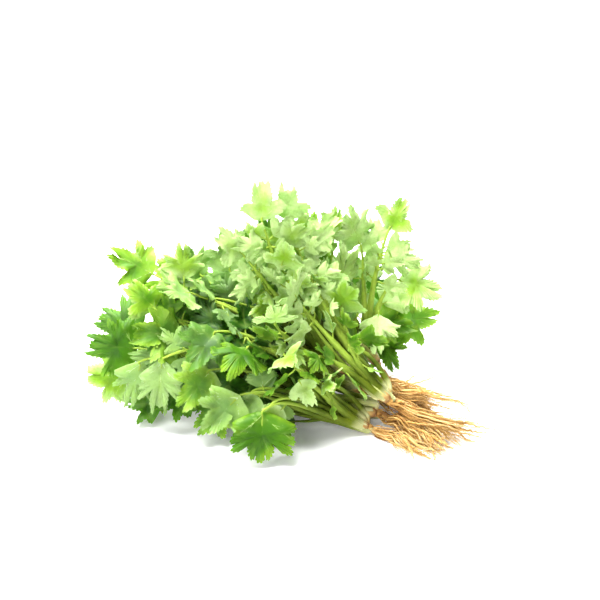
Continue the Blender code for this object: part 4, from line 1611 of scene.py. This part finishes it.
@dataclass
class BladeField:
    """One blade laid out flat and then bent: its rounded outline, its veins and its height."""

    leaflet: Leaflet
    level: bool
    narrow: float = 1.0
    deeper: float = 0.0
    tooth_width: float = 0.0033
    tooth_depth: float = 0.0018
    lobe_cut: float = 0.16
    small_cut: float = 0.02
    notch_cut: float = 0.04
    fullness: float = 0.76
    flare: float = 0.85
    spread: float = 0.93
    margin_steps: int = 4
    middle: float = 0.44
    cap_columns: tuple[float, ...] = (-0.62, 0.0, 0.62, 1.0)
    fold: float = 0.10
    tilt: float = 0.085
    curl: float = 0.080
    arch: float = 0.035
    puff: float = 0.00022
    ruffle: float = 0.0010
    ruffle_length: float = 0.0016
    billow: float = 0.0008
    billow_length: float = 0.0026
    margin_bow: float = 0.035

    def __post_init__(self) -> None:
        """Lays out the outline and the veins."""
        self.calm = 0.12 if self.level else 1.0
        self.fan = math.radians(self.leaflet.fan) * self.spread * self.narrow
        self.knots = self.knotted()
        self.turns = np.array([knot[0] for knot in self.leaflet.outline()])
        slopes = np.array([self.leaflet.rise(*knot) / knot[1] for knot in self.leaflet.outline()])
        for _ in range(3):
            wide = np.concatenate([slopes[:1], slopes, slopes[-1:]])
            slopes = (wide[:-2] + 2 * wide[1:-1] + wide[2:]) / 4
        self.slopes = slopes
        self.centre = np.array([0.0, self.middle * self.leaflet.size])
        self.edge = self.outline()
        away = self.edge - self.centre
        bearing = np.unwrap(np.arctan2(away[:, 1], away[:, 0]))
        self.bearings = np.maximum.accumulate(bearing)
        self.spans = np.hypot(away[:, 0], away[:, 1])
        self.veins = self.vein_lines()

    def knotted(self) -> list[tuple[float, float]]:
        """The teeth and notches of the plan with a shoulder at each end and deeper notches.

        Returns:
            Turn and reach of each.
        """
        ring = self.leaflet.outline()
        first, last = ring[0], ring[-1]
        alone = len(self.leaflet.lobes[0]) == 1
        shoulder, fall = (0.30, 0.66) if alone else (0.14, 0.86)
        knots = [(first[0] - shoulder, first[1] * fall), *ring, (last[0] + shoulder, last[1] * fall)]
        owner = [number for number, lobe in enumerate(self.leaflet.lobes) for _ in lobe]
        for tooth in range(1, len(owner)):
            cut = self.notch_cut + self.deeper * 0.6
            if owner[tooth] != owner[tooth - 1]:
                cut = (self.small_cut if alone else self.lobe_cut) + self.deeper
            turn, reach = knots[2 * tooth]
            knots[2 * tooth] = (turn, reach * (1 - cut))
        return knots

    def flat(self, turn: float, reach: float) -> np.ndarray:
        """The flat place at this turn and reach: metres to the side of the base and ahead of it."""
        angle = turn * self.fan
        return np.array([math.sin(angle), math.cos(angle)]) * (reach * self.leaflet.size)

    def outline(self) -> np.ndarray:
        """The blade's edge: a bowed margin up each side, and rounded teeth round the top.

        Returns:
            Flat places in order, anticlockwise as seen from above.
        """
        waist = np.array([TWIG_RADIUS * 0.8, 0.0])
        left, right = self.flat(*self.knots[0]), self.flat(*self.knots[-1])
        points = [*self.margin(-waist, left, 0.4), left]
        for k in range(1, len(self.knots) - 1, 2):
            points += self.tooth(*(self.flat(*self.knots[k + side]) for side in (-1, 0, 1)))
        points += reversed(self.margin(waist, right, -0.4))
        return np.array(points)[::-1]

    def margin(self, foot: np.ndarray, end: np.ndarray, lean: float) -> list[np.ndarray]:
        """The bowed margin from the blade's foot to just before its shoulder.

        Args:
            foot: where the margin starts.
            end: the shoulder.
            lean: how far the bow leans inwards.

        Returns:
            Its flat places.
        """
        shares = [step / self.margin_steps for step in range(self.margin_steps)]
        bows = [math.sin(math.pi * share) * self.margin_bow * self.leaflet.size for share in shares]
        away = np.array([lean, -1.0])
        return [foot + (end - foot) * share + away * bow for share, bow in zip(shares, bows)]

    def tooth(self, left: np.ndarray, tip: np.ndarray, right: np.ndarray) -> list[np.ndarray]:
        """A rounded tooth between two notches, itself edged with smaller rounded ones.

        Args:
            left: the notch before it.
            tip: its tip.
            right: the notch after it.

        Returns:
            Its flat places after the left notch, up to the right one.
        """
        root = (left + right) / 2
        half, high = (right - left) / 2, tip - root
        wide, tall = max(math.hypot(*half), 1e-6), max(math.hypot(*high), 1e-6)
        turns = np.linspace(0.0, math.pi, 49)
        across = -np.sign(np.cos(turns)) * np.abs(np.cos(turns)) ** self.fullness
        up = np.maximum(0.0, np.sin(turns)) ** self.fullness
        flare = self.flare * min(1.0, math.hypot(*tip) / max(math.hypot(*root), 1e-6) - 1)
        line = root + half * (across * (1 + max(0.0, flare) * up))[:, None] + high * up[:, None]
        runs = np.concatenate([[0.0], np.cumsum(np.hypot(*np.diff(line, axis=0).T))])
        minor = max(1, round(runs[-1] / self.tooth_width))
        points = []
        for cap in range(minor):
            for v in self.cap_columns:
                run = runs[-1] * (cap + (v + 1) / 2) / minor
                spot = np.array([np.interp(run, runs, line[:, axis]) for axis in (0, 1)])
                rise = float(np.interp(run, runs, up))
                out = half * (float(np.interp(run, runs, across)) / wide**2) + high * (rise / tall**2)
                cut = self.tooth_depth * (1 - math.sqrt(max(0.0, 1 - abs(v) ** 1.7)))
                cut = cut * min(1.0, rise * 2.5)
                points.append(spot - out / max(math.hypot(*out), 1e-6) * min(cut, wide * 0.4))
        points[-1] = right
        return points

    def vein_lines(self) -> list[tuple[np.ndarray, float]]:
        """The middle vein, one to each side lobe, and one from these to each tooth.

        Returns:
            The flat places of each vein, and how strong it is from 0 to 1.
        """
        size = self.leaflet.size
        start = np.array([0.0, 0.06 * size])
        shares = np.linspace(0.0, 1.0, 8)[:, None]
        veins, tooth = [], 1
        for number, lobe in enumerate(self.leaflet.lobes):
            turn = sum(lobe) / len(lobe)
            reach = min(self.knots[tooth + 2 * k][1] for k in range(len(lobe)))
            end = self.flat(turn, reach * (0.93 if len(lobe) % 2 else 0.84))
            bend = self.flat(turn * 0.78, reach * 0.48)
            main = start * (1 - shares) ** 2 + bend * (2 * shares * (1 - shares)) + end * shares**2
            veins.append((main, 1.0 if number == 1 else 0.8))
            for k, spot in enumerate(lobe):
                if abs(spot - turn) > 1e-6 and size > 0.019:
                    tip = self.flat(spot, self.knots[tooth + 2 * k][1] * 0.93)
                    fork = main[3]
                    knee = fork * 0.45 + tip * 0.55 + (main[5] - fork) * 0.35
                    few = shares[::2] / shares[6]
                    side = fork * (1 - few) ** 2 + knee * (2 * few * (1 - few)) + tip * few**2
                    veins.append((side, 0.45))
            tooth += 2 * len(lobe)
        return veins

    def lift(self, places: np.ndarray, share: Optional[np.ndarray] = None) -> np.ndarray:
        """The height of the blade's middle at flat places.

        Args:
            places: the flat places.
            share: how far each is from the centre to the edge, or None to find it out.

        Returns:
            The heights in metres.
        """
        leaflet, size, calm = self.leaflet, self.leaflet.size, self.calm
        x, y = places[..., 0], places[..., 1]
        away = places - self.centre
        bearing = np.arctan2(away[..., 1], away[..., 0])
        bearing = np.where(bearing < self.bearings[0], bearing + 2 * math.pi, bearing)
        if share is None:
            share = np.hypot(away[..., 0], away[..., 1]) / np.interp(bearing, self.bearings, self.spans)
        share = np.clip(share, 0.0, 1.0)
        turn = np.arctan2(x, np.maximum(y, 1e-9)) / self.fan
        turn = np.clip(turn, self.turns[0], self.turns[-1])
        before = np.clip(np.searchsorted(self.turns, turn, side="right") - 1, 0, len(self.turns) - 2)
        part = (turn - self.turns[before]) / (self.turns[before + 1] - self.turns[before])
        part = part * part * (3 - 2 * part)
        slope = self.slopes[before] * (1 - part) + self.slopes[before + 1] * part
        reach = np.hypot(x, y)
        height = slope * reach
        spots = [sum(lobe) / len(lobe) for lobe in leaflet.lobes]
        tilts = [math.sin((number + 1) * (5.3 + 9.1 * leaflet.phase)) for number in range(len(spots))]
        height += np.interp(turn, spots, tilts) * self.tilt * calm * reach**2 / size
        fold = self.fold * (0.4 + 0.9 * math.sin(17 * leaflet.phase) ** 2) * calm
        height += fold * (np.sqrt(x**2 + (0.03 * size) ** 2) - 0.03 * size)
        curl = self.curl * (0.5 + math.cos(23 * leaflet.phase)) * calm
        height -= curl * size * share**3
        arch = self.arch * calm * math.cos(6 * leaflet.phase)
        height += arch * size * 4 * np.clip(y / size * (1 - y / size), 0, 1)
        swell = np.sin(x / self.billow_length + 40 * leaflet.phase)
        swell = swell * np.sin(y / self.billow_length + 60 * leaflet.phase)
        height += self.billow * calm * swell * np.minimum(1.0, reach / (0.3 * size))
        scale = calm * min(1.0, size / 0.03)
        lean = 9 * leaflet.phase
        ahead = (x * math.cos(lean) + y * math.sin(lean)) / self.ruffle_length
        aside = (y * math.cos(lean + 0.9) - x * math.sin(lean + 0.9)) / self.ruffle_length
        wave = np.sin(ahead + 30 * leaflet.phase) + np.sin(aside * 0.8 + 11 * leaflet.phase)
        wave = wave + 0.5 * np.sin((ahead + aside) * 1.3 + 50 * leaflet.phase)
        height += self.ruffle * scale * wave * share**2
        return np.maximum(height, 0.0) if self.level else height

    def from_veins(self, places: np.ndarray) -> np.ndarray:
        """The distance from flat places to the nearest vein, in metres."""
        lines = np.vstack([line for line, _ in self.veins])
        shape = places.shape[:-1]
        flat = places.reshape(-1, 2)
        near = np.hypot(flat[:, None, 0] - lines[None, :, 0], flat[:, None, 1] - lines[None, :, 1])
        return near.min(axis=1).reshape(shape)

    def stand(self, places: np.ndarray, heights: np.ndarray) -> np.ndarray:
        """The points in space of flat places at these heights."""
        leaflet = self.leaflet
        side = np.array(leaflet.aim.cross(leaflet.face))
        return (
            np.array(leaflet.base)
            + places[..., :1] * side
            + places[..., 1:] * np.array(leaflet.aim)
            + heights[..., None] * np.array(leaflet.face)
        )


@dataclass
class BladeWork:
    """The leaf blades of one plant: rounded teeth, ruffles, two different sides."""

    name: str
    stalks: list[Stalk]
    rows: int = 5
    few_rows: int = 3
    small: float = 0.0200
    thickness: float = 0.00030
    edge_thickness: float = 0.00014
    vein_softness: float = 0.0011
    ring_crowding: float = 0.85
    sharp_angle: float = 62.0
    # The bunch's middle, inside which blades get painted shade, and how strong that painted shade is
    hull: Triple = (0.090, 0.054, 0.054)
    inner_shade: float = 2.00
    light_range: Pair = (-0.38, 0.24)
    bloom_range: Pair = (-0.10, 0.16)

    def __post_init__(self) -> None:
        """Lays out the field of every blade."""
        self.fields = [
            (
                BladeField(
                    replace(leaflet, size=leaflet.size * stalk.plan.shrink),
                    stalk.plan.level, stalk.plan.narrow, stalk.plan.deeper,
                ),
                stalk.plan.tone,
            )
            for stalk in self.stalks for leaflet in stalk.leaflets
        ]

    def tone_of(self, blade: BladeField, tone: Tone) -> tuple[float, float]:
        """How light and how bluish one blade is, with painted shade on the blades inside the bunch.

        Args:
            blade: the blade.
            tone: its leaf's tone.

        Returns:
            The lightness and the bloom.
        """
        draw = random.Random(int(blade.leaflet.phase * 1e6))
        off = blade.leaflet.base + blade.leaflet.aim * (blade.leaflet.size / 2) - HEART
        out = Vector((off.x / self.hull[0], off.y / self.hull[1], off.z / self.hull[2])).length
        light = tone.light + draw.uniform(*self.light_range)
        # Blades near the middle of the bunch are painted darker: painted shade where the outer leaves shade
        # them.
        light -= self.inner_shade * max(0.0, 1.0 - out)
        return light, max(0.0, tone.bloom + draw.uniform(*self.bloom_range))

    def rings(self, blade: BladeField) -> list[tuple[float, int]]:
        """How far out each ring of points is, and 2 where it has only every second point."""
        rows = self.few_rows if blade.leaflet.size < self.small else self.rows
        shares = [((row + 1) / rows) ** self.ring_crowding for row in range(rows)]
        return [(share, 2 if row < rows // 2 else 1) for row, share in enumerate(shares)]

    def sides(self, blade: BladeField) -> tuple[np.ndarray, np.ndarray, np.ndarray, np.ndarray]:
        """Both sides of a blade as points, from its centre outwards in rings.

        Args:
            blade: the blade.

        Returns:
            The points of the upper side, those of the lower side, how far out each is, and its
            distance to the nearest vein.
        """
        rings = self.rings(blade)
        grid = [blade.centre + (blade.edge[::step] - blade.centre) * share for share, step in rings]
        places = np.vstack([blade.centre[None], *grid])
        shares = [np.full(len(ring), share) for ring, (share, _) in zip(grid, rings)]
        out = np.concatenate([[0.0], *shares])
        near = blade.from_veins(places)
        puff = blade.puff * (1 - np.exp(-near / self.vein_softness)) * (1 - 0.5 * out)
        height = blade.lift(places, out) + puff
        thick = self.edge_thickness + (self.thickness - self.edge_thickness) * (1 - out**4)
        upper = blade.stand(places, height + thick / 2)
        lower = blade.stand(places, height - thick / 2)
        return upper, lower, out, near

    def faces(self, counts: Sequence[int]) -> list[Face]:
        """The faces of one blade: its upper side, its lower side and the edge between them.

        Args:
            counts: how many points each ring of a side has, from the centre outwards.

        Returns:
            The faces.
        """
        starts = [1 + sum(counts[:row]) for row in range(len(counts) + 1)]
        upper: list[Face] = [(0, 1 + i, 1 + (i + 1) % counts[0]) for i in range(counts[0])]
        for row in range(len(counts) - 1):
            upper += self.band(starts[row], counts[row], starts[row + 1], counts[row + 1])
        under, rim, columns = starts[-1], starts[-2], counts[-1]
        lower = [tuple(under + k for k in reversed(face)) for face in upper]
        after = [(i + 1) % columns for i in range(columns)]
        edge = [(i, under + i, under + after[i], after[i]) for i in range(columns)]
        return upper + lower + [tuple(rim + k for k in face) for face in edge]

    def band(self, inner: int, few: int, outer: int, many: int) -> list[Face]:
        """The faces between two rings, where the inner one may have every second point.

        Args:
            inner: the inner ring's first point.
            few: how many points it has.
            outer: the outer ring's first point.
            many: how many points it has.

        Returns:
            The faces.
        """
        if few == many:
            after = [(i + 1) % many for i in range(many)]
            return [(inner + i, outer + i, outer + after[i], inner + after[i]) for i in range(many)]
        faces: list[Face] = []
        for i in range(few):
            here, after_here = inner + i, inner + (i + 1) % few
            left, right = outer + 2 * i, outer + (2 * i + 2) % many
            if 2 * i + 1 < many:
                faces += [(here, left, left + 1), (here, left + 1, right, after_here)]
            else:
                faces.append((here, left, outer, after_here))
        return faces

    def dress(self, material: Material) -> Piece:
        """Makes the piece and gives it its finish.

        Args:
            material: the leaf finish.

        Returns:
            The piece.
        """
        verts, faces = [], []
        keys = ("vein_mm", "out", "under", "tone", "bloom")
        marks: dict[str, list[np.ndarray]] = {key: [] for key in keys}
        start = 0
        for blade, tone in self.fields:
            upper, lower, out, near = self.sides(blade)
            light, bloom = self.tone_of(blade, tone)
            count = len(upper)
            for side, points in enumerate((upper, lower)):
                verts.append(points)
                flat = [np.full(count, float(number)) for number in (side, light, bloom)]
                for key, values in zip(keys, (near * 1000, out, *flat)):
                    marks[key].append(values)
            counts = [len(blade.edge[::step]) for _, step in self.rings(blade)]
            faces += [tuple(start + k for k in face) for face in self.faces(counts)]
            start += 2 * count
        mesh = bpy.data.meshes.new(self.name)
        mesh.from_pydata(np.vstack(verts).tolist(), [], faces)
        set_marks(mesh, marks)
        mesh.materials.append(material)
        mesh.shade_smooth()
        mesh.set_sharp_from_angle(angle=math.radians(self.sharp_angle))
        hold_inside(mesh)
        return linked(self.name, mesh)

    def spine(self, leaflet: Leaflet, shares: Sequence[float]) -> list[np.ndarray]:
        """Points under the middle vein, where the twig runs on below the blade.

        Args:
            leaflet: the blade's plan.
            shares: how far along the blade each point is, from 0 to 1.

        Returns:
            The points.
        """
        blade = next(field for field, _ in self.fields if field.leaflet.base is leaflet.base)
        places = np.array([[0.0, share * blade.leaflet.size] for share in shares])
        return list(blade.stand(places, blade.lift(places) - self.thickness / 2))


class RibbedWork:
    """A piece that is drawn as ribbed tubes, with this many sides and ribs of this depth."""

    name: str
    ribbing: Ribbing

    def strands(self) -> list[Strand]:
        """The lines of the piece."""
        raise NotImplementedError

    def dress(self, recipe: Recipe, material: Material) -> Piece:
        """Draws the piece with its finish.

        Args:
            recipe: the ribbed tubes' tree.
            material: the finish.

        Returns:
            The piece.
        """
        sides, ribs, depth = self.ribbing
        values = {"Sides": sides, "Ribs": ribs, "Rib Depth": depth, "Material": material}
        return drawn(self.name, self.strands(), recipe, values)


@dataclass
class VeinWork(RibbedWork):
    """The raised veins of one plant's leaf blades."""

    name: str
    blades: BladeWork
    radius: float = 0.00034
    end_share: float = 0.30
    full_size: float = 0.03
    ribbing: Ribbing = (4, 0, 0.0)

    def strands(self) -> list[Strand]:
        """The lines of every blade's veins.

        Returns:
            The strands.
        """
        made = []
        for blade, tone in self.blades.fields:
            light, bloom = self.blades.tone_of(blade, tone)
            for line, strength in blade.veins:
                points = blade.stand(line, blade.lift(line))
                shares = np.linspace(0.0, 1.0, len(points))
                scale = 0.4 + 0.6 * min(1.0, blade.leaflet.size / self.full_size)
                scale = self.radius * strength * scale
                thick = scale * (1 - (1 - self.end_share) * shares)
                # Each vein takes its blade's lightness, painted shade included.
                made.append(Strand(points, thick, np.full(len(points), bloom), light))
        return made


@dataclass
class StalkWork(RibbedWork):
    """The ribbed stalks of one plant, the thinner ones beside them, and the leaflets' twigs."""

    name: str
    growth: Growth
    blades: BladeWork
    foot_share: float = 0.04
    steps: int = 5
    ribbing: Ribbing = (10, 5, 0.07)
    twig_radius: float = 0.00058
    vein_radius: float = 0.00018
    knee: float = 0.28
    knee_width: float = 0.0028
    fuller: float = 0.22
    thicker: float = 0.45
    thickest: float = 0.42
    thick_width: float = 0.26
    companions: int = 2
    companion_spread: Pair = (0.0030, 0.0065)
    rejoin: float = 0.66

    def strands(self) -> list[Strand]:
        """The lines of every stalk and twig.

        Returns:
            The strands.
        """
        made = []
        for number, stalk in enumerate(self.growth.stalks):
            main = self.stalk(stalk)
            made.append(main)
            made += [self.twig(leaflet) for leaflet in stalk.leaflets if leaflet.stem]
            beside = 0 if stalk.plan.level else self.companions
            made += [self.companion(main, 10 * number + k) for k in range(beside)]
        return made

    def companion(self, main: Strand, seed: int) -> Strand:
        """A thinner stalk that leaves the crown beside another and joins it again further on.

        Args:
            main: the stalk that it keeps beside.
            seed: what its place and thickness are drawn from.

        Returns:
            The strand.
        """
        draw = random.Random(3000 + 100 * len(self.growth.roots) + seed)
        count = int(len(main.points) * self.rejoin)
        share = np.linspace(0.0, 1.0, count)
        sides = [np.array([draw.uniform(low, 1) for low in (-1, -0.1, -0.6)]) for _ in range(2)]
        spread = draw.uniform(*self.companion_spread)
        points = main.points[:count] + np.sin(np.pi * share)[:, None] ** 0.7 * sides[0] * spread * 1.4
        points = points + np.sin(2 * np.pi * share)[:, None] * sides[1] * spread * 0.5
        thick = main.thick[:count] * draw.uniform(0.62, 0.88)
        points[:, 2] = np.maximum(points[:, 2], thick + LOWEST_STALK)
        return Strand(points, thick, main.along[:count], main.tone * draw.uniform(0.2, 0.8))

    def stalk(self, stalk: Stalk) -> Strand:
        """A stalk's line from the foot of the crown to the end leaflet's middle vein.

        Args:
            stalk: the stalk.

        Returns:
            The strand.
        """
        plant = self.growth.plan
        lean = Vector(plant.lean).normalized()
        start = Vector(stalk.tube.points[0])
        foot = start - lean * (CROWN_LENGTH * (SHEATH_START - self.foot_share))
        inward = Vector(plant.crown) - (foot - lean * (CROWN_LENGTH * self.foot_share))
        rows = [
            [*(foot + inward * 0.45), STALK_RADIUS_AT_CROWN * 0.40, 0.0],
            [*(foot + lean * (CROWN_LENGTH * 0.10) + inward * 0.10), STALK_RADIUS_AT_CROWN * 0.80, 0.03],
        ]
        count = len(stalk.tube.points)
        for i, (point, radius) in enumerate(zip(stalk.tube.points, stalk.tube.radii)):
            rows.append([*point, radius, 0.08 + 0.92 * i / (count - 1)])
        ends = [leaflet for leaflet in stalk.leaflets if not leaflet.stem]
        if ends:
            points = self.blades.spine(ends[0], (0.10, 0.30, 0.52))
            for point, radius in zip(points, (0.0005, 0.0003, self.vein_radius * 0.6)):
                rows.append([*point, radius, 1.0])
        line = smooth_line(np.array(rows), self.steps)
        thick = line[:, 3] * (1 + self.fuller * (1 - line[:, 4]))
        away = (line[:, 4] - self.thickest) / self.thick_width
        thick = thick * (1 + self.thicker * np.exp(-(away**2)))
        for joint in stalk.joints:
            apart = np.linalg.norm(line[:, :3] - np.array(joint), axis=1)
            thick = thick * (1 + self.knee * np.exp(-((apart / self.knee_width) ** 2)))
        # The stalk's tone follows its leaf's lightness, so the stalks of the lit top leaves get painted
        # light near the leaf.
        return Strand(line[:, :3], thick, line[:, 4], max(0.0, stalk.plan.tone.light - 0.5) * 1.4)

    def twig(self, leaflet: Leaflet) -> Strand:
        """A side leaflet's twig, from inside the stalk to the leaflet's middle vein.

        Args:
            leaflet: the leaflet.

        Returns:
            The strand.
        """
        joint = leaflet.base - leaflet.aim * leaflet.stem
        middle = joint.lerp(leaflet.base, 0.5) - leaflet.face * (leaflet.stem * 0.06)
        points = [joint, middle, leaflet.base - leaflet.face * 0.0001]
        points += self.blades.spine(leaflet, (0.12, 0.32, 0.55))
        radii = [1.1, 0.95, 0.85, 0.6, 0.4, 0.2]
        rows = [[*p, r * self.twig_radius, 1.0] for p, r in zip(points, radii)]
        line = smooth_line(np.array(rows), 3)
        return Strand(line[:, :3], line[:, 3], line[:, 4])


@dataclass
class CrownWork(RibbedWork):
    """The crown of one plant: a short swollen stem with faint rings."""

    name: str
    growth: Growth
    steps: int = 8
    ring: float = 0.05
    ring_spacing: float = 1.05
    ribbing: Ribbing = (28, 7, 0.05)

    def strands(self) -> list[Strand]:
        """The line of the crown.

        Returns:
            The one strand.
        """
        tube = self.growth.crown
        shares = [share for share, _ in CROWN_PROFILE]
        rows = [[*p, r, s] for p, r, s in zip(tube.points, tube.radii, shares)]
        line = smooth_line(np.array(rows), self.steps)
        thick = line[:, 3] * (1 - self.ring * np.abs(np.sin(np.arange(len(line)) * self.ring_spacing)))
        return [Strand(line[:, :3], thick, line[:, 4])]


@dataclass
class RootWork(RibbedWork):
    """The taproot and the side roots of one plant, creased and a little crooked."""

    name: str
    growth: Growth
    steps: int = 7
    crook: float = 0.0004
    swelling: float = 0.13
    swellings: Pair = (55.0, 23.0)
    slimmer: float = 0.36
    neck_share: float = 0.12
    ribbing: Ribbing = (8, 2, 0.09)

    def strands(self) -> list[Strand]:
        """The lines of the taproot and of every side root.

        Returns:
            The strands.
        """
        made = []
        for number, tube in enumerate(self.growth.roots):
            draw = random.Random(7000 + 31 * number + len(self.growth.plan.leaves))
            rows = [[*p, r] for p, r in zip(tube.points, tube.radii)]
            line = smooth_line(np.array(rows), self.steps)
            along = np.linspace(0.0, 1.0, len(line))
            phases = [draw.uniform(0, 6.3) for _ in range(4)]
            ease = np.minimum(1.0, along * 6)
            for axis in range(3):
                line[:, axis] += self.crook * ease * np.sin(along * (26 + 9 * axis) + phases[axis])
            swell = np.sin(along * self.swellings[0] + phases[3]) * np.sin(along * self.swellings[1])
            thick = line[:, 3] * (1 + self.swelling * swell)
            if number == 0:
                neck = np.exp(-((along / self.neck_share) ** 2))
                thick = thick * (self.slimmer + (1 - self.slimmer) * neck)
            line[:, 2] = np.maximum(line[:, 2], thick + LOWEST_ROOT / 2)
            made.append(Strand(line[:, :3], thick, along, draw.uniform(0.2, 0.8)))
        return made


@dataclass
class HairWork:
    """Thin strands beside one plant's taproot where own is set, else beside its side roots."""

    name: str
    roots: RootWork
    seed: int
    own: bool
    count: int
    spread: float
    thickness: float
    shortest: float
    points: int = 26
    waviness: float = 0.0060
    wave_scale: float = 20.0
    margin: float = 0.0008

    def dress(self, recipe: Recipe, material: Material) -> Piece:
        """Draws the strands with their finish.

        Args:
            recipe: the stringy roots' tree.
            material: the root finish.

        Returns:
            The piece.
        """
        lo, hi = (np.array(corner) for corner in CAD_BOX)
        values = {
            "Count": self.count, "Points": self.points, "Spread": self.spread,
            "Waviness": self.waviness, "Wave Scale": self.wave_scale, "Thickness": self.thickness,
            "Shortest": self.shortest, "Seed": self.seed,
            "Low Corner": tuple(float(v) for v in lo + self.margin),
            "High Corner": tuple(float(v) for v in hi - self.margin),
            "Material": material,
        }
        strands = self.roots.strands()
        return drawn(self.name, strands[:1] if self.own else strands[1:], recipe, values)


@dataclass
class Finishes:
    """Every material and every geometry node tree that the plants share."""

    leaf: Material
    vein: Material
    stalk: Material
    crown: Material
    root: Material
    ribbed: Recipe
    stringy: Recipe

    @classmethod
    def made(cls) -> "Finishes":
        """Makes them all once."""
        finishes = (LeafFinish(), VeinFinish(), StalkFinish(), CrownFinish(), RootFinish())
        return cls(*(finish.make() for finish in finishes), ribbed_recipe(), hair_recipe())


@dataclass
class Plant:
    """One plant of the bunch, with all its pieces."""

    growth: Growth
    number: int
    strand_spread: tuple[float, ...] = (0.0090, 0.0040, 0.0090, 0.0070, 0.0090, 0.0090, 0.0070, 0.0080)
    stalks_beside: tuple[int, ...] = (2, 0, 2, 2, 2, 2, 2, 2)

    def build(self, finishes: Finishes) -> list[Piece]:
        """Args:
            finishes: the shared materials and trees.

        Returns:
            The pieces.
        """
        name = self.growth.plan.name
        blades = BladeWork(name + "_leaf_blades", self.growth.stalks)
        beside = self.stalks_beside[self.number]
        stalks = StalkWork(name + "_ribbed_stalks", self.growth, blades, companions=beside)
        roots = RootWork(name + "_main_roots", self.growth)
        green = [
            blades.dress(finishes.leaf),
            VeinWork(name + "_leaf_veins", blades).dress(finishes.ribbed, finishes.vein),
            stalks.dress(finishes.ribbed, finishes.stalk),
            CrownWork(name + "_crown", self.growth).dress(finishes.ribbed, finishes.crown),
        ]
        spread = self.strand_spread[self.number]
        strings = HairWork(
            name + "_stringy_roots", roots, seed=40 + self.number, own=True, count=56, spread=spread,
            thickness=0.00054, shortest=0.66, waviness=0.0024,
        )
        hairs = HairWork(
            name + "_hair_roots", roots, seed=60 + self.number, own=False, count=4, spread=spread * 0.7,
            thickness=0.00028, shortest=0.45, waviness=0.0080,
        )
        tan = [
            roots.dress(finishes.ribbed, finishes.root),
            strings.dress(finishes.stringy, finishes.root),
            hairs.dress(finishes.stringy, finishes.root),
        ]
        for group, node, slot in ((green, "_leafy_stems", "leaf_green"), (tan, "_roots", "root_tan")):
            for piece in group:
                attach(piece, "root")
                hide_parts(name + node)
        return green + tan


@dataclass
class Studio:
    """The pale floor, the soft lights and the camera."""

    floor_size: float = 16.0
    floor_drop: float = 0.0001
    target: Triple = (0.0205, 0.020, 0.086)
    elevation: float = 27.0
    distance: float = 0.971
    lens: float = 85.0
    sky: float = 0.13
    lights: tuple[tuple[str, Triple, float, float], ...] = (
        ("top_softbox", (-0.25, 0.05, 1.20), 0.7, 52.0),
        ("back_softbox", (0.10, 0.80, 0.80), 0.8, 32.0),
        ("front_softbox", (-0.45, -0.80, 0.55), 0.6, 7.0),
    )

    def build(self) -> Piece:
        """Makes the floor, the lights, the sky and the camera.

        Returns:
            The floor.
        """
        half = self.floor_size / 2
        mesh = bpy.data.meshes.new("pale_floor")
        corners = [(-half, -half), (half, -half), (half, half), (-half, half)]
        mesh.from_pydata([(x, y, -self.floor_drop) for x, y in corners], [], [(0, 1, 2, 3)])
        mesh.materials.append(FloorFinish().make())
        floor = linked("pale_floor", mesh)
        for name, place, size, power in self.lights:
            self.light(name, place, size, power)
        world = bpy.data.worlds.new("soft_sky")
        world.use_nodes = True
        sky = world.node_tree.nodes["Background"].inputs
        sky["Color"].default_value = (1.0, 1.0, 1.0, 1.0)
        sky["Strength"].default_value = self.sky
        bpy.context.scene.world = world
        bpy.context.scene.view_settings.view_transform = "Standard"
        self.camera()
        return floor

    def light(self, name: str, place: Triple, size: float, power: float) -> None:
        """Adds a square soft light that points at the bunch.

        Args:
            name: its name.
            place: where it hangs.
            size: its side in metres.
            power: its power in watts.
        """
        data = bpy.data.lights.new(name, "AREA")
        data.size = size
        data.energy = power
        lamp = linked(name, data)
        lamp.location = place
        lamp.rotation_euler = (Vector(self.target) - Vector(place)).to_track_quat("-Z", "Y").to_euler()

    def camera(self) -> None:
        """Adds the camera in front of the bunch, a little above it."""
        data = bpy.data.cameras.new("view")
        data.lens = self.lens
        data.clip_start = 0.01
        tilt = math.radians(self.elevation)
        back = Vector((0.0, -math.cos(tilt), math.sin(tilt)))
        camera = linked("view", data)
        camera.location = Vector(self.target) + back * self.distance
        camera.rotation_euler = back.to_track_quat("Z", "Y").to_euler()
        bpy.context.scene.camera = camera


def write_sizes() -> None:
    """Brings the view layer up to date."""
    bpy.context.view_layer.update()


def main() -> None:
    """Builds the bunch plant by plant, then the studio round it."""
    logging.basicConfig(level=logging.INFO, format="%(name)s %(message)s")
    for old in [obj for obj in bpy.data.objects if obj.type in ("LIGHT", "CAMERA")]:
        bpy.data.objects.remove(old)
    finishes = Finishes.made()
    total = 0
    for number, growth in enumerate(lay_out()):
        for piece in Plant(growth, number).build(finishes):
            count = sum(len(face.vertices) - 2 for face in piece.data.polygons)
            total += count
            LOG.info("%s: %d triangles", piece.name, count)
    LOG.info("all pieces: %d triangles", total)
    Studio().build()
    write_sizes()


if __name__ == "__main__":
    main()
